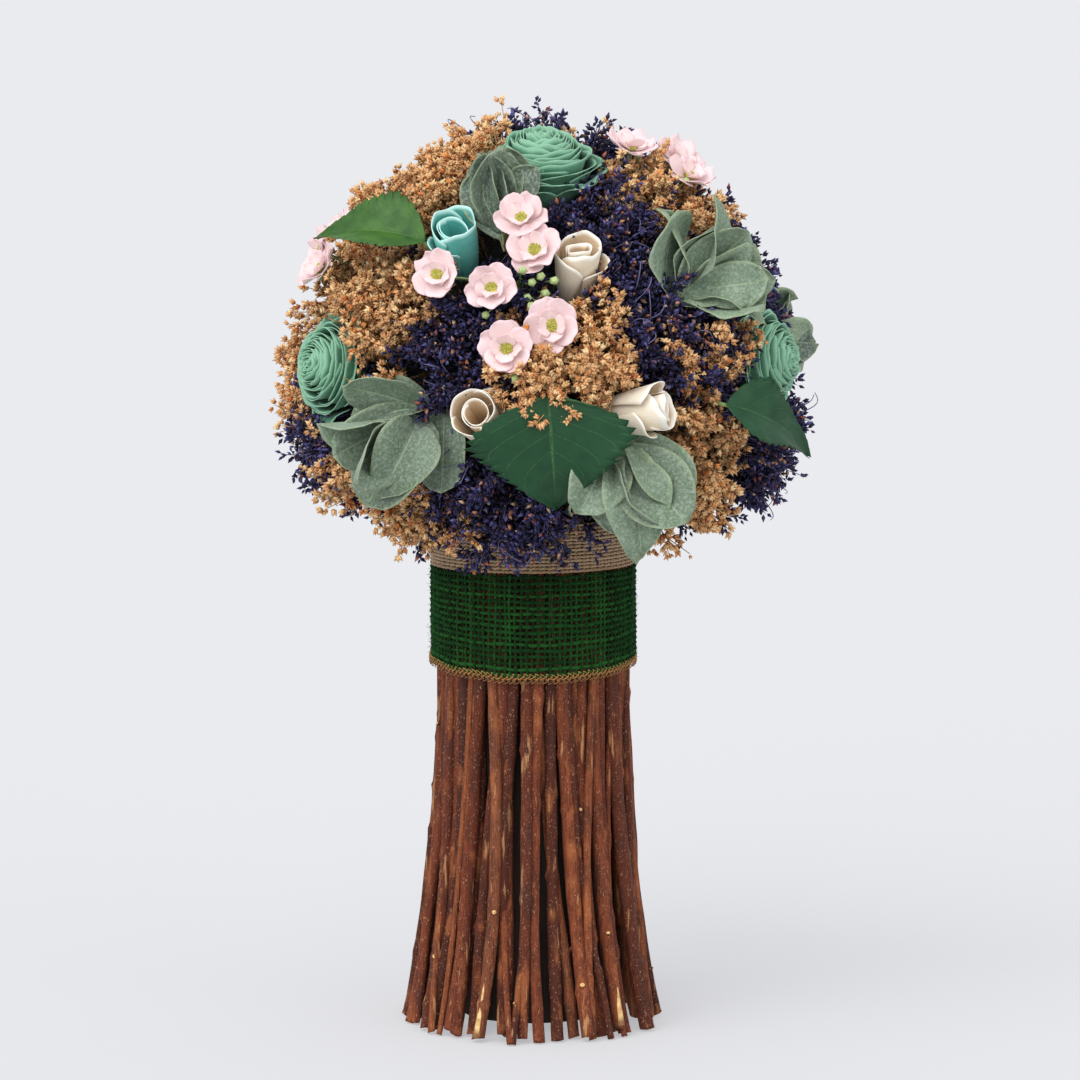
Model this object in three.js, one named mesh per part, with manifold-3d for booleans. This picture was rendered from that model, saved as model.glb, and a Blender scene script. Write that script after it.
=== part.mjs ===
import * as THREE from 'three';
import { mergeVertices } from 'three/addons/utils/BufferGeometryUtils.js';
import Module from 'manifold-3d';

// A standing bunch of dried and wood-shaving flowers. Twigs are tied round a core post with twine
// and a burlap ribbon, and a foam ball on the post holds the flowers by their stems.
// Millimetres, +Z up, front towards -Y. Azimuth 0 is the front and grows towards +X.

const GAP = 0.3; // air between neighbouring pieces
const CUT_GAP = 0.5; // how far a piece is set back from the neighbour that cuts into it

// Twigs
const TWIG_DIAMETER = 6.2;
const TWIG_LENGTH = 246;
const TWIG_GROUPS = 6;
const OUTER_PER_GROUP = 8;
const INNER_PER_GROUP = 3;
const TWIG_NEST = 0.94; // outer twigs round the neck, as a share of their diameter
const TWIG_GLUE = 0.82; // pitch of the twigs glued into one group, as a share of their diameter
const INNER_NEST = 0.7; // how deep the inner twigs sit between the outer ones, the same way
const FOOT_SPREAD = 15; // how much further out the outer feet stand than the neck
const INNER_FOOT_SPREAD = 12.5;
const FLARE_POWER = 2.3; // a high power keeps the twigs straight until near the feet
const FOOT_WANDER = 1.8; // how far a foot stands off its ring
const FOOT_LIFTS = [0, 2.6, 0, 0, 3.8]; // cut ends that stop short of the ground

// Tie
const TWINE_PROUD = 1.5; // how far the winding reaches above the twigs
const TWINE_DIAMETER = 1.8;
const TWINE_TURNS = 14;
const RIBBON_WIDTH = 44;
const RIBBON_THICKNESS = 1.4;
const RIBBON_DIP = 6; // how much lower the ribbon's edge hangs at the front
const HEM_DIAMETER = 2.2;
const RING_SIDES = 32; // flat sides round the ribbon, hem and winding

// Core and foam
const CORE_LIFT = 5; // the core post stops short of the ground
const HEAD_RADIUS = 120; // from the middle of the head to the tips of the flowers
const FLOWER_DEPTH = 42; // how far the flowers stand out of the foam
const HEAD_SHIFT = 5; // the head leans this far to the right of the twigs

// Stems
const STEM_RADIUS = 1.6;
const STEM_INSET = 16; // how deep a stem is pushed into the foam
const STALK_RADIUS = 1; // the thinner stalks that branch from a stem

// Flowers
const ROSE_RADIUS = 25.5;
const ROSE_DEPTH = 25;
const BUD_RADIUS = 12;
const BUD_LENGTH = 34;
const BLOSSOM_RADIUS = 11.5;
const BLOSSOM_DEPTH = 6.5;
const EUCALYPTUS_LEAF_LENGTH = 44;
const EUCALYPTUS_LEAF_WIDTH = 33;
const LEAF_THICKNESS = 1.3;
const TIP_LENGTH = 13; // how far the tips stand out of a clump
const SPIKE_RADIUS = 7.5;
const SEED_RADIUS = 8.5;
const LOBE_DEPTH = 0.1; // of a clump's lobes, as a share of its radius

// ---- Sizes that follow from the ones above ----

const outerTwigs = TWIG_GROUPS * OUTER_PER_GROUP;
const neckRing = (outerTwigs * TWIG_DIAMETER * TWIG_NEST) / (2 * Math.PI);
const innerRing = neckRing - INNER_NEST * TWIG_DIAMETER;
const neckRadius = neckRing + TWIG_DIAMETER / 2; // outside of the bundle under the tie
const coreRadius = innerRing - TWIG_DIAMETER / 2 - GAP;
const twineTop = TWIG_LENGTH + TWINE_PROUD;
const twineBottom = twineTop - TWINE_TURNS * TWINE_DIAMETER;
const ribbonTop = twineBottom - GAP;
const ribbonBottom = ribbonTop - RIBBON_WIDTH;
const foamRadius = HEAD_RADIUS - FLOWER_DEPTH;
const seatRadius = coreRadius - HEAD_SHIFT; // where the foam's underside is nearest to the twigs
const headHeight = TWIG_LENGTH + GAP + Math.sqrt(foamRadius ** 2 - seatRadius ** 2);

const wasm = await Module();
wasm.setup();

// ---- Solids ----

const UP = new THREE.Vector3(0, 0, 1);
const radians = THREE.MathUtils.degToRad;

/** A repeatable number from 0 to 1 for each whole number. */
function chance(index) {
  const value = Math.sin(index * 12.9898 + 4.1) * 43758.5453;
  return value - Math.floor(value);
}

/** A closed geometry as a manifold solid. */
function solid(geometry) {
  const bare = geometry.index ? geometry.toNonIndexed() : geometry.clone();
  bare.deleteAttribute('normal');
  bare.deleteAttribute('uv');
  const merged = mergeVertices(bare, 1e-4);
  const corners = merged.index.array;
  const triangles = [];
  for (let i = 0; i < corners.length; i += 3) {
    const [a, b, c] = corners.subarray(i, i + 3);
    if (a !== b && b !== c && c !== a) triangles.push(a, b, c);
  }
  return new wasm.Manifold(new wasm.Mesh({
    numProp: 3,
    vertProperties: new Float32Array(merged.attributes.position.array),
    triVerts: new Uint32Array(triangles),
  }));
}

function geometryOf(manifold) {
  const mesh = manifold.getMesh();
  const geometry = new THREE.BufferGeometry();
  geometry.setAttribute('position', new THREE.BufferAttribute(mesh.vertProperties, 3));
  geometry.setIndex(new THREE.BufferAttribute(mesh.triVerts, 1));
  geometry.computeVertexNormals();
  return geometry;
}

/** Moves each vertex of a geometry to where `place(x, y, z)` says. */
function bend(geometry, place) {
  const position = geometry.attributes.position;
  for (let i = 0; i < position.count; i++) {
    const moved = place(position.getX(i), position.getY(i), position.getZ(i));
    position.setXYZ(i, moved.x, moved.y, moved.z);
  }
  return geometry;
}

/** Turns a geometry's +Z to `axis`, rolls it about that and moves it to `origin`. */
function stand(geometry, origin, axis, roll = 0) {
  const turn = new THREE.Quaternion().setFromUnitVectors(UP, axis);
  geometry.rotateZ(roll);
  geometry.applyQuaternion(turn);
  return geometry.translate(origin.x, origin.y, origin.z);
}

/** The unit normal on the outer side of an edge of a profile. */
function edgeNormal([r0, h0], [r1, h1]) {
  return new THREE.Vector2(h1 - h0, r0 - r1).normalize();
}

/** A profile moved outwards by `grow`, for a solid with so many flat sides. */
function grownProfile(profile, sides, grow) {
  const SHARPEST = 0.5;
  const last = profile.length - 1;
  return profile.map((point, i) => {
    const before = i === 0 ? new THREE.Vector2(0, -1) : edgeNormal(profile[i - 1], point);
    const after = i === last ? new THREE.Vector2(0, 1) : edgeNormal(point, profile[i + 1]);
    const outwards = before.clone().add(after).normalize();
    const step = grow / Math.max(outwards.dot(after), SHARPEST);
    const onAxis = i === 0 || i === last;
    const radius = onAxis ? 0 : point[0] + (step * outwards.x) / Math.cos(Math.PI / sides);
    return new THREE.Vector2(radius, point[1] + step * outwards.y);
  });
}

/** A solid of revolution about +Z. `profile` lists [radius, height] from bottom to top. */
function turned(profile, sides, grow = 0, scallop = () => 1) {
  const geometry = new THREE.LatheGeometry(grownProfile(profile, sides, grow), sides);
  return bend(geometry.rotateX(Math.PI / 2), (x, y, z) => {
    const share = scallop(Math.atan2(y, x));
    return new THREE.Vector3(x * share, y * share, z);
  });
}

/** A straight round rod from one point to another. */
function rod(from, to, radius, grow = 0, sides = 5) {
  const along = to.clone().sub(from);
  const length = along.length() + 2 * grow;
  const geometry = new THREE.CylinderGeometry(radius + grow, radius + grow, length, sides);
  geometry.rotateX(Math.PI / 2);
  return solid(stand(geometry, from.clone().lerp(to, 0.5), along.normalize()));
}

/**
 * A thin leaf that grows from the origin along +Y with its upper face towards +Z.
 * It is folded along its midrib, cupped across and curled along its length.
 */
function blade({ length, width, fold = 0, curl = 0, widest = 0.5, steps = 3 }, grow = 0) {
  const thickness = LEAF_THICKNESS + 2 * grow;
  const geometry = new THREE.BoxGeometry(2, 1, thickness, 2, steps, 1);
  return bend(geometry, (x, y, z) => {
    const along = y + 0.5;
    const rise = Math.sin(Math.PI * along ** (Math.log(0.5) / Math.log(widest)));
    const half = (width / 2) * (0.1 + 0.9 * Math.max(rise, 0) ** 0.7) + grow;
    const run = along * (length + 2 * grow) - grow;
    const sag = curl * along * along * length;
    return new THREE.Vector3(x * half, run, z + Math.abs(x) * half * fold + sag);
  });
}

// ---- Places round the flower head ----

const centre = new THREE.Vector3(HEAD_SHIFT, 0, headHeight);

/** The direction at an azimuth and an elevation, both in degrees. */
function direction([azimuth, elevation]) {
  const flat = Math.cos(radians(elevation));
  const turn = radians(azimuth);
  return new THREE.Vector3(Math.sin(turn) * flat, -Math.cos(turn) * flat, Math.sin(radians(elevation)));
}

/** The point at a distance from the head's centre, in a direction. */
function reach(aim, distance) {
  return centre.clone().addScaledVector(aim, distance);
}

/** A direction `spread` degrees away from `aim`, turned `roll` degrees round it. */
function lean(aim, spread, roll) {
  const side = new THREE.Vector3(Math.sin(radians(roll)), Math.cos(radians(roll)), 0);
  side.applyQuaternion(new THREE.Quaternion().setFromUnitVectors(UP, aim));
  return aim.clone().multiplyScalar(Math.cos(radians(spread)))
    .addScaledVector(side, Math.sin(radians(spread)));
}

/** Directions spread evenly over a cone round `aim`. */
function fan(aim, count, spread) {
  const GOLDEN_TURN = 137.5;
  return Array.from({ length: count }, (_, k) => (
    lean(aim, spread * Math.sqrt((k + 0.4) / count), k * GOLDEN_TURN)
  ));
}

/** The straight stem from inside the foam out to `end`, a distance from the head's centre. */
function stem(aim, end, grow = 0) {
  return rod(reach(aim, foamRadius - STEM_INSET), reach(aim, end), STEM_RADIUS, grow);
}

// ---- Flowers and leaves: each returns one solid, without its stem, grown by `grow` ----

function roseHead({ at, face = at, out = 0 }, grow) {
  const R = ROSE_RADIUS;
  const D = ROSE_DEPTH;
  const profile = [
    [0, 0], [0.5 * R, 0.05 * D], [0.86 * R, 0.38 * D], [R, 0.7 * D], [0.94 * R, 0.84 * D],
    [0.66 * R, 0.86 * D], [0.4 * R, D], [0, 0.94 * D],
  ];
  const petals = turned(profile, 12, grow, (turn) => 1 + 0.03 * Math.cos(5 * turn));
  const axis = direction(face);
  return solid(stand(petals, reach(direction(at), HEAD_RADIUS - D + out), axis));
}

function budHead({ at, face, out = 0 }, grow) {
  const R = BUD_RADIUS;
  const L = BUD_LENGTH;
  const profile = [
    [0, 0], [0.5 * R, 0.04 * L], [0.78 * R, 0.4 * L], [0.95 * R, 0.85 * L], [0.84 * R, L],
    [0.4 * R, 0.92 * L], [0, 0.94 * L],
  ];
  const axis = direction(face);
  const middle = reach(direction(at), HEAD_RADIUS - R + out);
  return solid(stand(turned(profile, 9, grow), middle.addScaledVector(axis, -L / 2), axis));
}

function blossomHead(spot, aim, index, grow) {
  const R = BLOSSOM_RADIUS;
  const D = BLOSSOM_DEPTH;
  const profile = [[0, 0], [0.92 * R, 0.55 * D], [R, D], [0.34 * R, 0.6 * D], [0, 0.75 * D]];
  return solid(stand(turned(profile, 8, grow), spot, aim, index));
}

/** Blossoms on thin stalks that branch from one stem. */
function spray({ at, blossoms }, grow) {
  const fork = reach(direction(at), foamRadius + 9);
  return blossoms.map((place, index) => {
    const aim = direction(place);
    const spot = reach(aim, HEAD_RADIUS + 2 - BLOSSOM_DEPTH);
    const stalk = rod(fork, reach(aim, HEAD_RADIUS - 2), STALK_RADIUS, grow, 4);
    return blossomHead(spot, aim, index, grow).add(stalk);
  }).reduce((whole, piece) => whole.add(piece));
}

/** Round leaves in pairs up a short stem. */
function eucalyptus({ at, leaves, droop = 0, out = 0 }, grow) {
  const aim = direction(at);
  const L = EUCALYPTUS_LEAF_LENGTH;
  const PAIR_TURN = 100;
  return Array.from({ length: leaves }, (_, k) => {
    const shape = {
      length: L * (1 - 0.05 * k),
      width: EUCALYPTUS_LEAF_WIDTH * (1 - 0.04 * k),
      fold: 0.4,
      curl: 0.2,
      widest: 0.6,
    };
    const leaf = blade(shape, grow);
    leaf.rotateX(radians(22 + 11 * k));
    leaf.rotateZ(radians(k * PAIR_TURN));
    const root = reach(aim, HEAD_RADIUS + out - L * (0.92 - 0.05 * k));
    root.z -= droop * (1 + 0.1 * k);
    return solid(stand(leaf, root, aim));
  }).reduce((whole, piece) => whole.add(piece));
}

/** One broad leaf that lies over the head, from its stalk towards its tip. */
function broadLeaf({ at, tip, length, width, out = 0, bow = 0.05, tilt = 0 }, grow) {
  const base = reach(direction(at), HEAD_RADIUS + out);
  const along = reach(direction(tip), HEAD_RADIUS + out).sub(base).normalize();
  const over = direction(at).addScaledVector(along, -direction(at).dot(along)).normalize();
  over.applyAxisAngle(along, radians(tilt));
  const across = along.clone().cross(over);
  const leaf = blade({ length, width, fold: 0.12, curl: -bow, widest: 0.42, steps: 6 }, grow);
  leaf.applyMatrix4(new THREE.Matrix4().makeBasis(across, along, over).setPosition(base));
  return solid(leaf);
}

/** The dense, lobed body of a clump, which fills out from a narrow foot. */
function clumpBody(aim, { spread, out = 0 }, grow) {
  const L = HEAD_RADIUS + out - TIP_LENGTH - foamRadius;
  const W = HEAD_RADIUS * Math.tan(radians(spread));
  const profile = [[0, 0], [0.5 * W, 0.15 * L], [W, 0.8 * L], [0.6 * W, L], [0, L]];
  const body = turned(profile, 7, grow, (turn) => 1 + LOBE_DEPTH * Math.cos(3 * turn));
  return solid(stand(body, reach(aim, foamRadius), aim));
}

/** A clump with tips of one profile, in shares of [tip radius, tip length], all over its top. */
function tippedClump(options, { radius, profile, sides }, grow) {
  const aim = direction(options.at);
  const { spread, tips, out = 0 } = options;
  const outline = profile.map(([across, along]) => [across * radius, along * 2 * TIP_LENGTH]);
  return fan(aim, tips, 1.05 * spread).reduce((whole, way, k) => {
    const from = HEAD_RADIUS + out - (2 + 0.3 * chance(k + options.at[0])) * TIP_LENGTH;
    return whole.add(solid(stand(turned(outline, sides, grow), reach(way, from), way, k)));
  }, clumpBody(aim, options, grow));
}

/** A clump of narrow flower spikes. */
function spikes(options, grow) {
  const profile = [[0, 0], [1, 0.55], [0, 1]];
  return tippedClump(options, { radius: SPIKE_RADIUS, profile, sides: 4 }, grow);
}

/** A clump of knobbly seed branches. */
function seeds(options, grow) {
  const profile = [[0, 0], [0.9, 0.5], [1, 0.88], [0, 1]];
  return tippedClump(options, { radius: SEED_RADIUS, profile, sides: 4 }, grow);
}

// ---- What goes where: azimuth and elevation in degrees, most important first ----

const SHAPES = {
  sola_rose: { shape: roseHead, stemEnd: HEAD_RADIUS - 0.7 * ROSE_DEPTH, finish: [0x69a582, 0.85] },
  rosebud: { shape: budHead, stemEnd: HEAD_RADIUS - BUD_RADIUS, finish: [0xebe1cd, 0.8] },
  leaf: { shape: broadLeaf, stemEnd: HEAD_RADIUS, finish: [0x235032, 0.5] },
  blossom_spray: { shape: spray, stemEnd: foamRadius + 10, finish: [0xf0d7d7, 0.8] },
  eucalyptus: { shape: eucalyptus, stemEnd: HEAD_RADIUS - 24, clump: true, finish: [0x829682, 0.75] },
  lavender: { shape: spikes, stemEnd: foamRadius + 12, clump: true, finish: [0x2d2850, 0.9] },
  seed_head: { shape: seeds, stemEnd: foamRadius + 12, clump: true, finish: [0xcd9b69, 0.9] },
};

const FLOWERS = [
  ['sola_rose', { at: [3, 62] }],
  ['sola_rose', { at: [-64, 4], face: [-56, 8], out: 7 }],
  ['sola_rose', { at: [73, 7], face: [68, 10], out: 6 }],
  ['sola_rose', { at: [-138, 24] }],
  ['sola_rose', { at: [150, 14] }],
  ['rosebud', { at: [-27, 35], face: [-12, 50] }],
  ['rosebud', { at: [9, 28], face: [14, 52] }],
  ['rosebud', { at: [-15, -5], face: [-14, 22], out: 4 }],
  ['rosebud', { at: [25, -4], face: [52, 16], out: 4 }],
  ['rosebud', { at: [-176, 36], face: [-170, 50] }],
  ['rosebud', { at: [-104, 26], face: [-108, 40] }],
  ['leaf', { at: [-3, -9], tip: [1, -26], length: 44, width: 76, out: 4 }],
  ['leaf', { at: [-37, 30], tip: [-86, 36], length: 62, width: 34, out: 4, tilt: -35 }],
  ['leaf', { at: [62, -10], tip: [90, -16], length: 70, width: 34, out: 8, tilt: 20 }],
  ['leaf', { at: [-146, -4], tip: [-140, -30], length: 58, width: 44, out: 2 }],
  ['blossom_spray', { at: [-9, 29], blossoms: [[-6, 38], [-2, 30], [-12, 21], [-26, 24]] }],
  ['blossom_spray', { at: [-6, 13], blossoms: [[2, 13], [-8, 8]] }],
  ['blossom_spray', { at: [-76, 30], blossoms: [[-72, 24], [-82, 28], [-74, 34]] }],
  ['blossom_spray', { at: [58, 55], blossoms: [[44, 61], [62, 50], [72, 56]] }],
  ['blossom_spray', { at: [174, 14], blossoms: [[168, 18], [178, 8], [-176, 16]] }],
  ['eucalyptus', { at: [-38, -8], leaves: 4 }],
  ['eucalyptus', { at: [21, -31], leaves: 4, droop: 12, out: 5 }],
  ['eucalyptus', { at: [48, 29], leaves: 4, out: 5 }],
  ['eucalyptus', { at: [-15, 46], leaves: 4, out: 3 }],
  ['eucalyptus', { at: [104, 8], leaves: 4 }],
  ['eucalyptus', { at: [-164, -14], leaves: 4 }],
  ['lavender', { at: [-24, 9], spread: 14, tips: 6 }],
  ['lavender', { at: [25, 42], spread: 14, tips: 6, out: 2 }],
  ['lavender', { at: [34, 13], spread: 14, tips: 6, out: 2 }],
  ['lavender', { at: [52, 2], spread: 11, tips: 4 }],
  ['lavender', { at: [-74, -18], spread: 14, tips: 6, out: 3 }],
  ['lavender', { at: [-14, -32], spread: 16, tips: 6, out: 6 }],
  ['lavender', { at: [80, -22], spread: 14, tips: 6, out: 12 }],
  ['lavender', { at: [-20, 82], spread: 13, tips: 6, out: 8 }],
  ['lavender', { at: [116, 34], spread: 18, tips: 6 }],
  ['lavender', { at: [136, -20], spread: 17, tips: 6 }],
  ['lavender', { at: [-140, 56], spread: 18, tips: 6 }],
  ['lavender', { at: [-116, -26], spread: 18, tips: 6 }],
  ['seed_head', { at: [-42, 54], spread: 15, tips: 5, out: 4 }],
  ['seed_head', { at: [-47, 19], spread: 14, tips: 5 }],
  ['seed_head', { at: [8, 4], spread: 15, tips: 5, out: 2 }],
  ['seed_head', { at: [46, -19], spread: 15, tips: 5, out: 2 }],
  ['seed_head', { at: [-46, -28], spread: 15, tips: 5, out: 4 }],
  ['seed_head', { at: [-92, 0], spread: 15, tips: 5, out: 10 }],
  ['seed_head', { at: [48, 49], spread: 11, tips: 4, out: 4 }],
  ['seed_head', { at: [108, -22], spread: 15, tips: 5 }],
  ['seed_head', { at: [168, -30], spread: 17, tips: 5 }],
  ['seed_head', { at: [150, 52], spread: 19, tips: 5 }],
  ['seed_head', { at: [-128, -2], spread: 16, tips: 5 }],
];

/** Keeps a clump on its own side of the plane halfway to a neighbouring clump. */
function keepSide(piece, own, other) {
  const towards = own.clone().sub(other).normalize();
  return piece.trimByPlane(towards.toArray(), towards.dot(centre) + GAP / 2);
}

/**
 * Cuts each flower by the stems of all the others and by the firmer flowers listed before it.
 * Two loose clumps press against each other, so they meet at a flat side instead.
 */
function arrangeFlowers() {
  const items = FLOWERS.map(([kind, options]) => {
    const { shape, stemEnd, clump = false } = SHAPES[kind];
    const end = stemEnd + (options.out ?? 0);
    const aim = direction(options.at);
    return {
      kind,
      clump,
      aim,
      foot: reach(aim, foamRadius - STEM_INSET),
      whole: stem(aim, end).add(shape(options, 0).subtract(foamRoom)),
      wideStem: stem(aim, end, CUT_GAP),
      wideHead: shape(options, CUT_GAP),
    };
  });
  return items.map((item, index) => {
    let piece = item.whole.subtract(tied);
    items.forEach((other, place) => {
      if (place === index) return;
      if (item.clump && other.clump) {
        piece = keepSide(piece, item.aim, other.aim);
      } else {
        piece = piece.subtract(other.wideStem);
        if (place < index) piece = piece.subtract(other.wideHead);
      }
    });
    return { kind: item.kind, piece: rooted(piece, item.foot) };
  });
}

/** The body of a solid that reaches nearest to `foot`. */
function rooted(manifold, foot) {
  const bodies = manifold.decompose();
  const away = bodies.map((body) => {
    const { vertProperties } = body.getMesh();
    let least = Infinity;
    for (let i = 0; i < vertProperties.length; i += 3) {
      const corner = new THREE.Vector3().fromArray(vertProperties, i);
      least = Math.min(least, corner.distanceTo(foot));
    }
    return least;
  });
  return bodies[away.indexOf(Math.min(...away))];
}

// ---- Twigs, tie, core and foam ----

/** One bent twig. `ring` and `turn` say where its axis is at the neck, `footTurn` at the ground. */
function twig({ ring, spread, turn, footTurn, lift }) {
  const length = TWIG_LENGTH - lift;
  const geometry = new THREE.CylinderGeometry(TWIG_DIAMETER / 2, TWIG_DIAMETER / 2, length, 6, 3);
  geometry.rotateX(Math.PI / 2).translate(0, 0, length / 2 + lift);
  return solid(bend(geometry, (x, y, z) => {
    const loose = Math.max(1 - z / ribbonBottom, 0) ** FLARE_POWER;
    const radius = ring + spread * loose;
    const angle = turn + (footTurn - turn) * Math.max(1 - z / ribbonBottom, 0);
    return new THREE.Vector3(x + radius * Math.cos(angle), y + radius * Math.sin(angle), z);
  }));
}

function twigGroup(group) {
  const middle = ((group + 0.5) / TWIG_GROUPS) * 2 * Math.PI;
  const outer = Array.from({ length: OUTER_PER_GROUP }, (_, k) => {
    const step = k - (OUTER_PER_GROUP - 1) / 2;
    return twig({
      ring: neckRing,
      spread: FOOT_SPREAD + FOOT_WANDER * (2 * chance(group * 17 + k) - 1),
      turn: middle + (step * TWIG_GLUE * TWIG_DIAMETER) / neckRing,
      footTurn: middle + (step * 2 * Math.PI) / outerTwigs,
      lift: FOOT_LIFTS[(k + group) % FOOT_LIFTS.length],
    });
  });
  const inner = Array.from({ length: INNER_PER_GROUP }, (_, k) => {
    const step = k - (INNER_PER_GROUP - 1) / 2;
    return twig({
      ring: innerRing,
      spread: INNER_FOOT_SPREAD,
      turn: middle + (step * 2 * TWIG_GLUE * TWIG_DIAMETER) / neckRing,
      footTurn: middle + (step * 2 * Math.PI) / (INNER_PER_GROUP * TWIG_GROUPS),
      lift: 1.5 * (k % 2),
    });
  });
  return [...outer, ...inner].reduce((whole, piece) => whole.add(piece));
}

/** How much wider a ring of flat sides is than the round one whose radius its flats touch. */
const flatsToCorners = 1 / Math.cos(Math.PI / RING_SIDES);

/** A closed ring: a section of [radius to the flats, height] points turned about +Z. */
function band(section) {
  const loop = [...section, section[0]].map(([radius, height]) => (
    new THREE.Vector2(radius * flatsToCorners, height)
  ));
  return new THREE.LatheGeometry(loop, RING_SIDES).rotateX(Math.PI / 2);
}

const ribbonInside = neckRadius + GAP;
const ribbonOutside = ribbonInside + RIBBON_THICKNESS;

/** How much lower the ribbon hangs at a point, near its lower edge only. */
function ribbonDip(x, y, height) {
  const frontness = (1 - y / Math.hypot(x, y)) / 2;
  const lowness = Math.min(Math.max((ribbonTop - height) / RIBBON_WIDTH, 0), 1);
  return RIBBON_DIP * frontness ** 2 * lowness;
}

function dipped(geometry) {
  return bend(geometry, (x, y, z) => new THREE.Vector3(x, y, z - ribbonDip(x, y, z)));
}

function burlapRibbon() {
  const section = [
    [ribbonInside, ribbonBottom + HEM_DIAMETER], [ribbonOutside, ribbonBottom + HEM_DIAMETER],
    [ribbonOutside, ribbonTop], [ribbonInside, ribbonTop],
  ];
  return solid(dipped(band(section)));
}

function ribbonHem() {
  const middle = ribbonBottom + HEM_DIAMETER / 2 - GAP;
  const half = HEM_DIAMETER / 2;
  const section = [
    [ribbonInside, middle], [ribbonInside + half, middle - half],
    [ribbonInside + 2 * half, middle], [ribbonInside + half, middle + half],
  ];
  return solid(dipped(band(section)));
}

/** The winding as one ring with rounded edges. */
function twineWrap() {
  const inside = neckRadius + GAP;
  const outside = inside + TWINE_DIAMETER;
  const round = TWINE_DIAMETER / 2;
  return solid(band([
    [inside, twineBottom], [outside - 0.3 * round, twineBottom], [outside, twineBottom + round],
    [outside, twineTop - round], [outside - 0.3 * round, twineTop], [inside, twineTop],
  ]));
}

function foamSphere(radius) {
  return solid(new THREE.IcosahedronGeometry(radius, 2).translate(centre.x, centre.y, centre.z));
}

function corePost() {
  const top = headHeight - Math.sqrt(foamRadius ** 2 - coreRadius ** 2) + 2;
  const post = new THREE.CylinderGeometry(coreRadius, coreRadius, top - CORE_LIFT, 20);
  post.rotateX(Math.PI / 2).translate(0, 0, (top + CORE_LIFT) / 2);
  return solid(post).subtract(foamSphere(foamRadius + GAP));
}

/** The foam ball with a hole for every stem. */
function foamBall() {
  return FLOWERS.reduce((ball, [, { at }]) => {
    const aim = direction(at);
    const hole = rod(reach(aim, foamRadius - STEM_INSET), reach(aim, foamRadius + 5), STEM_RADIUS, GAP);
    return ball.subtract(hole);
  }, foamSphere(foamRadius));
}

/** The room that the foam takes, kept clear of flower heads. */
const foamRoom = foamSphere(foamRadius + GAP);

/** The room that the twigs and their tie take, kept clear of flowers. */
const tieRadius = neckRadius + GAP + Math.max(RIBBON_THICKNESS, TWINE_DIAMETER, HEM_DIAMETER);
const clearRadius = (tieRadius * flatsToCorners + GAP) * flatsToCorners;
const tied = solid(new THREE.CylinderGeometry(clearRadius, clearRadius, twineTop + GAP, RING_SIDES)
  .rotateX(Math.PI / 2).translate(0, 0, (twineTop + GAP) / 2));

// ---- Assembly ----

const bunch = new THREE.Group();

function addPiece(name, manifold, [color, roughness]) {
  const material = new THREE.MeshStandardMaterial({ color, roughness, metalness: 0 });
  const mesh = new THREE.Mesh(geometryOf(manifold), material);
  mesh.name = name;
  bunch.add(mesh);
}

for (let group = 0; group < TWIG_GROUPS; group++) {
  addPiece(`twig_group_${group + 1}`, twigGroup(group), [0x783c23, 0.85]);
}
addPiece('core_post', corePost(), [0x1c120c, 0.95]);
addPiece('foam_ball', foamBall(), [0x2e3a2a, 1]);
addPiece('burlap_ribbon', burlapRibbon(), [0x194b23, 0.95]);
addPiece('ribbon_hem', ribbonHem(), [0xa5783c, 0.9]);
addPiece('twine_wrap', twineWrap(), [0xa58764, 0.9]);

const counts = {};
for (const { kind, piece } of arrangeFlowers()) {
  counts[kind] = (counts[kind] ?? 0) + 1;
  addPiece(`${kind}_${counts[kind]}`, piece, SHAPES[kind].finish);
}

// The origin is under the middle of the whole bunch, on the ground.
const box = new THREE.Box3().setFromObject(bunch);
const middle = box.getCenter(new THREE.Vector3());
bunch.position.set(-middle.x, -middle.y, -box.min.z);

export default bunch;
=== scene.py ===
"""The looks of a standing bunch of dried flowers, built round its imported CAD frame.

Metres, +Z up, front towards -Y. Azimuth 0 is the front and grows towards +X.
"""

import math

import bpy
import numpy as np
from bpy.types import NodeSocket
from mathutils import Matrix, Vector


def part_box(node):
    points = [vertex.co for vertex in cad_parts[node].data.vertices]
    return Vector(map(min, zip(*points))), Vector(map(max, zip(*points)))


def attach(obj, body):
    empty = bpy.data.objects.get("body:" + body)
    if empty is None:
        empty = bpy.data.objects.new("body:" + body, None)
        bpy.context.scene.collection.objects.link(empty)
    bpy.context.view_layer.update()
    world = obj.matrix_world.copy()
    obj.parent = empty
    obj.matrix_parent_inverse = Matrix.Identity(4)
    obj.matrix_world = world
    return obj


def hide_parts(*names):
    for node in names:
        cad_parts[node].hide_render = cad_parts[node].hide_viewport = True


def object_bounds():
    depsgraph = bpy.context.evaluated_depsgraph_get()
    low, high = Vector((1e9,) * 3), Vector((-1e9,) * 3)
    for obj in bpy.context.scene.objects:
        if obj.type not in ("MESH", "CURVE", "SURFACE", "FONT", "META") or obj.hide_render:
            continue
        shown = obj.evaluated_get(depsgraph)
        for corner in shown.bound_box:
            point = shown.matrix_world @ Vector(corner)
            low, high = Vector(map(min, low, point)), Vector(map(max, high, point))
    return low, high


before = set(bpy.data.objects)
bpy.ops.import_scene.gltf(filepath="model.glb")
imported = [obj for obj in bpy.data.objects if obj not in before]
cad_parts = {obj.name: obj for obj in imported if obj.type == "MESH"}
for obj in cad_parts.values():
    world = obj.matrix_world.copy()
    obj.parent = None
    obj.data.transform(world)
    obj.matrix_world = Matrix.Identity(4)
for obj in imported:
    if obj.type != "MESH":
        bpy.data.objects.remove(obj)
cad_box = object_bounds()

MM = 0.001


def box_middle(node):
    low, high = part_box(node)
    return np.array((low + high) / 2)


def box_size(node):
    low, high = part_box(node)
    return np.array(high - low)


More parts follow.
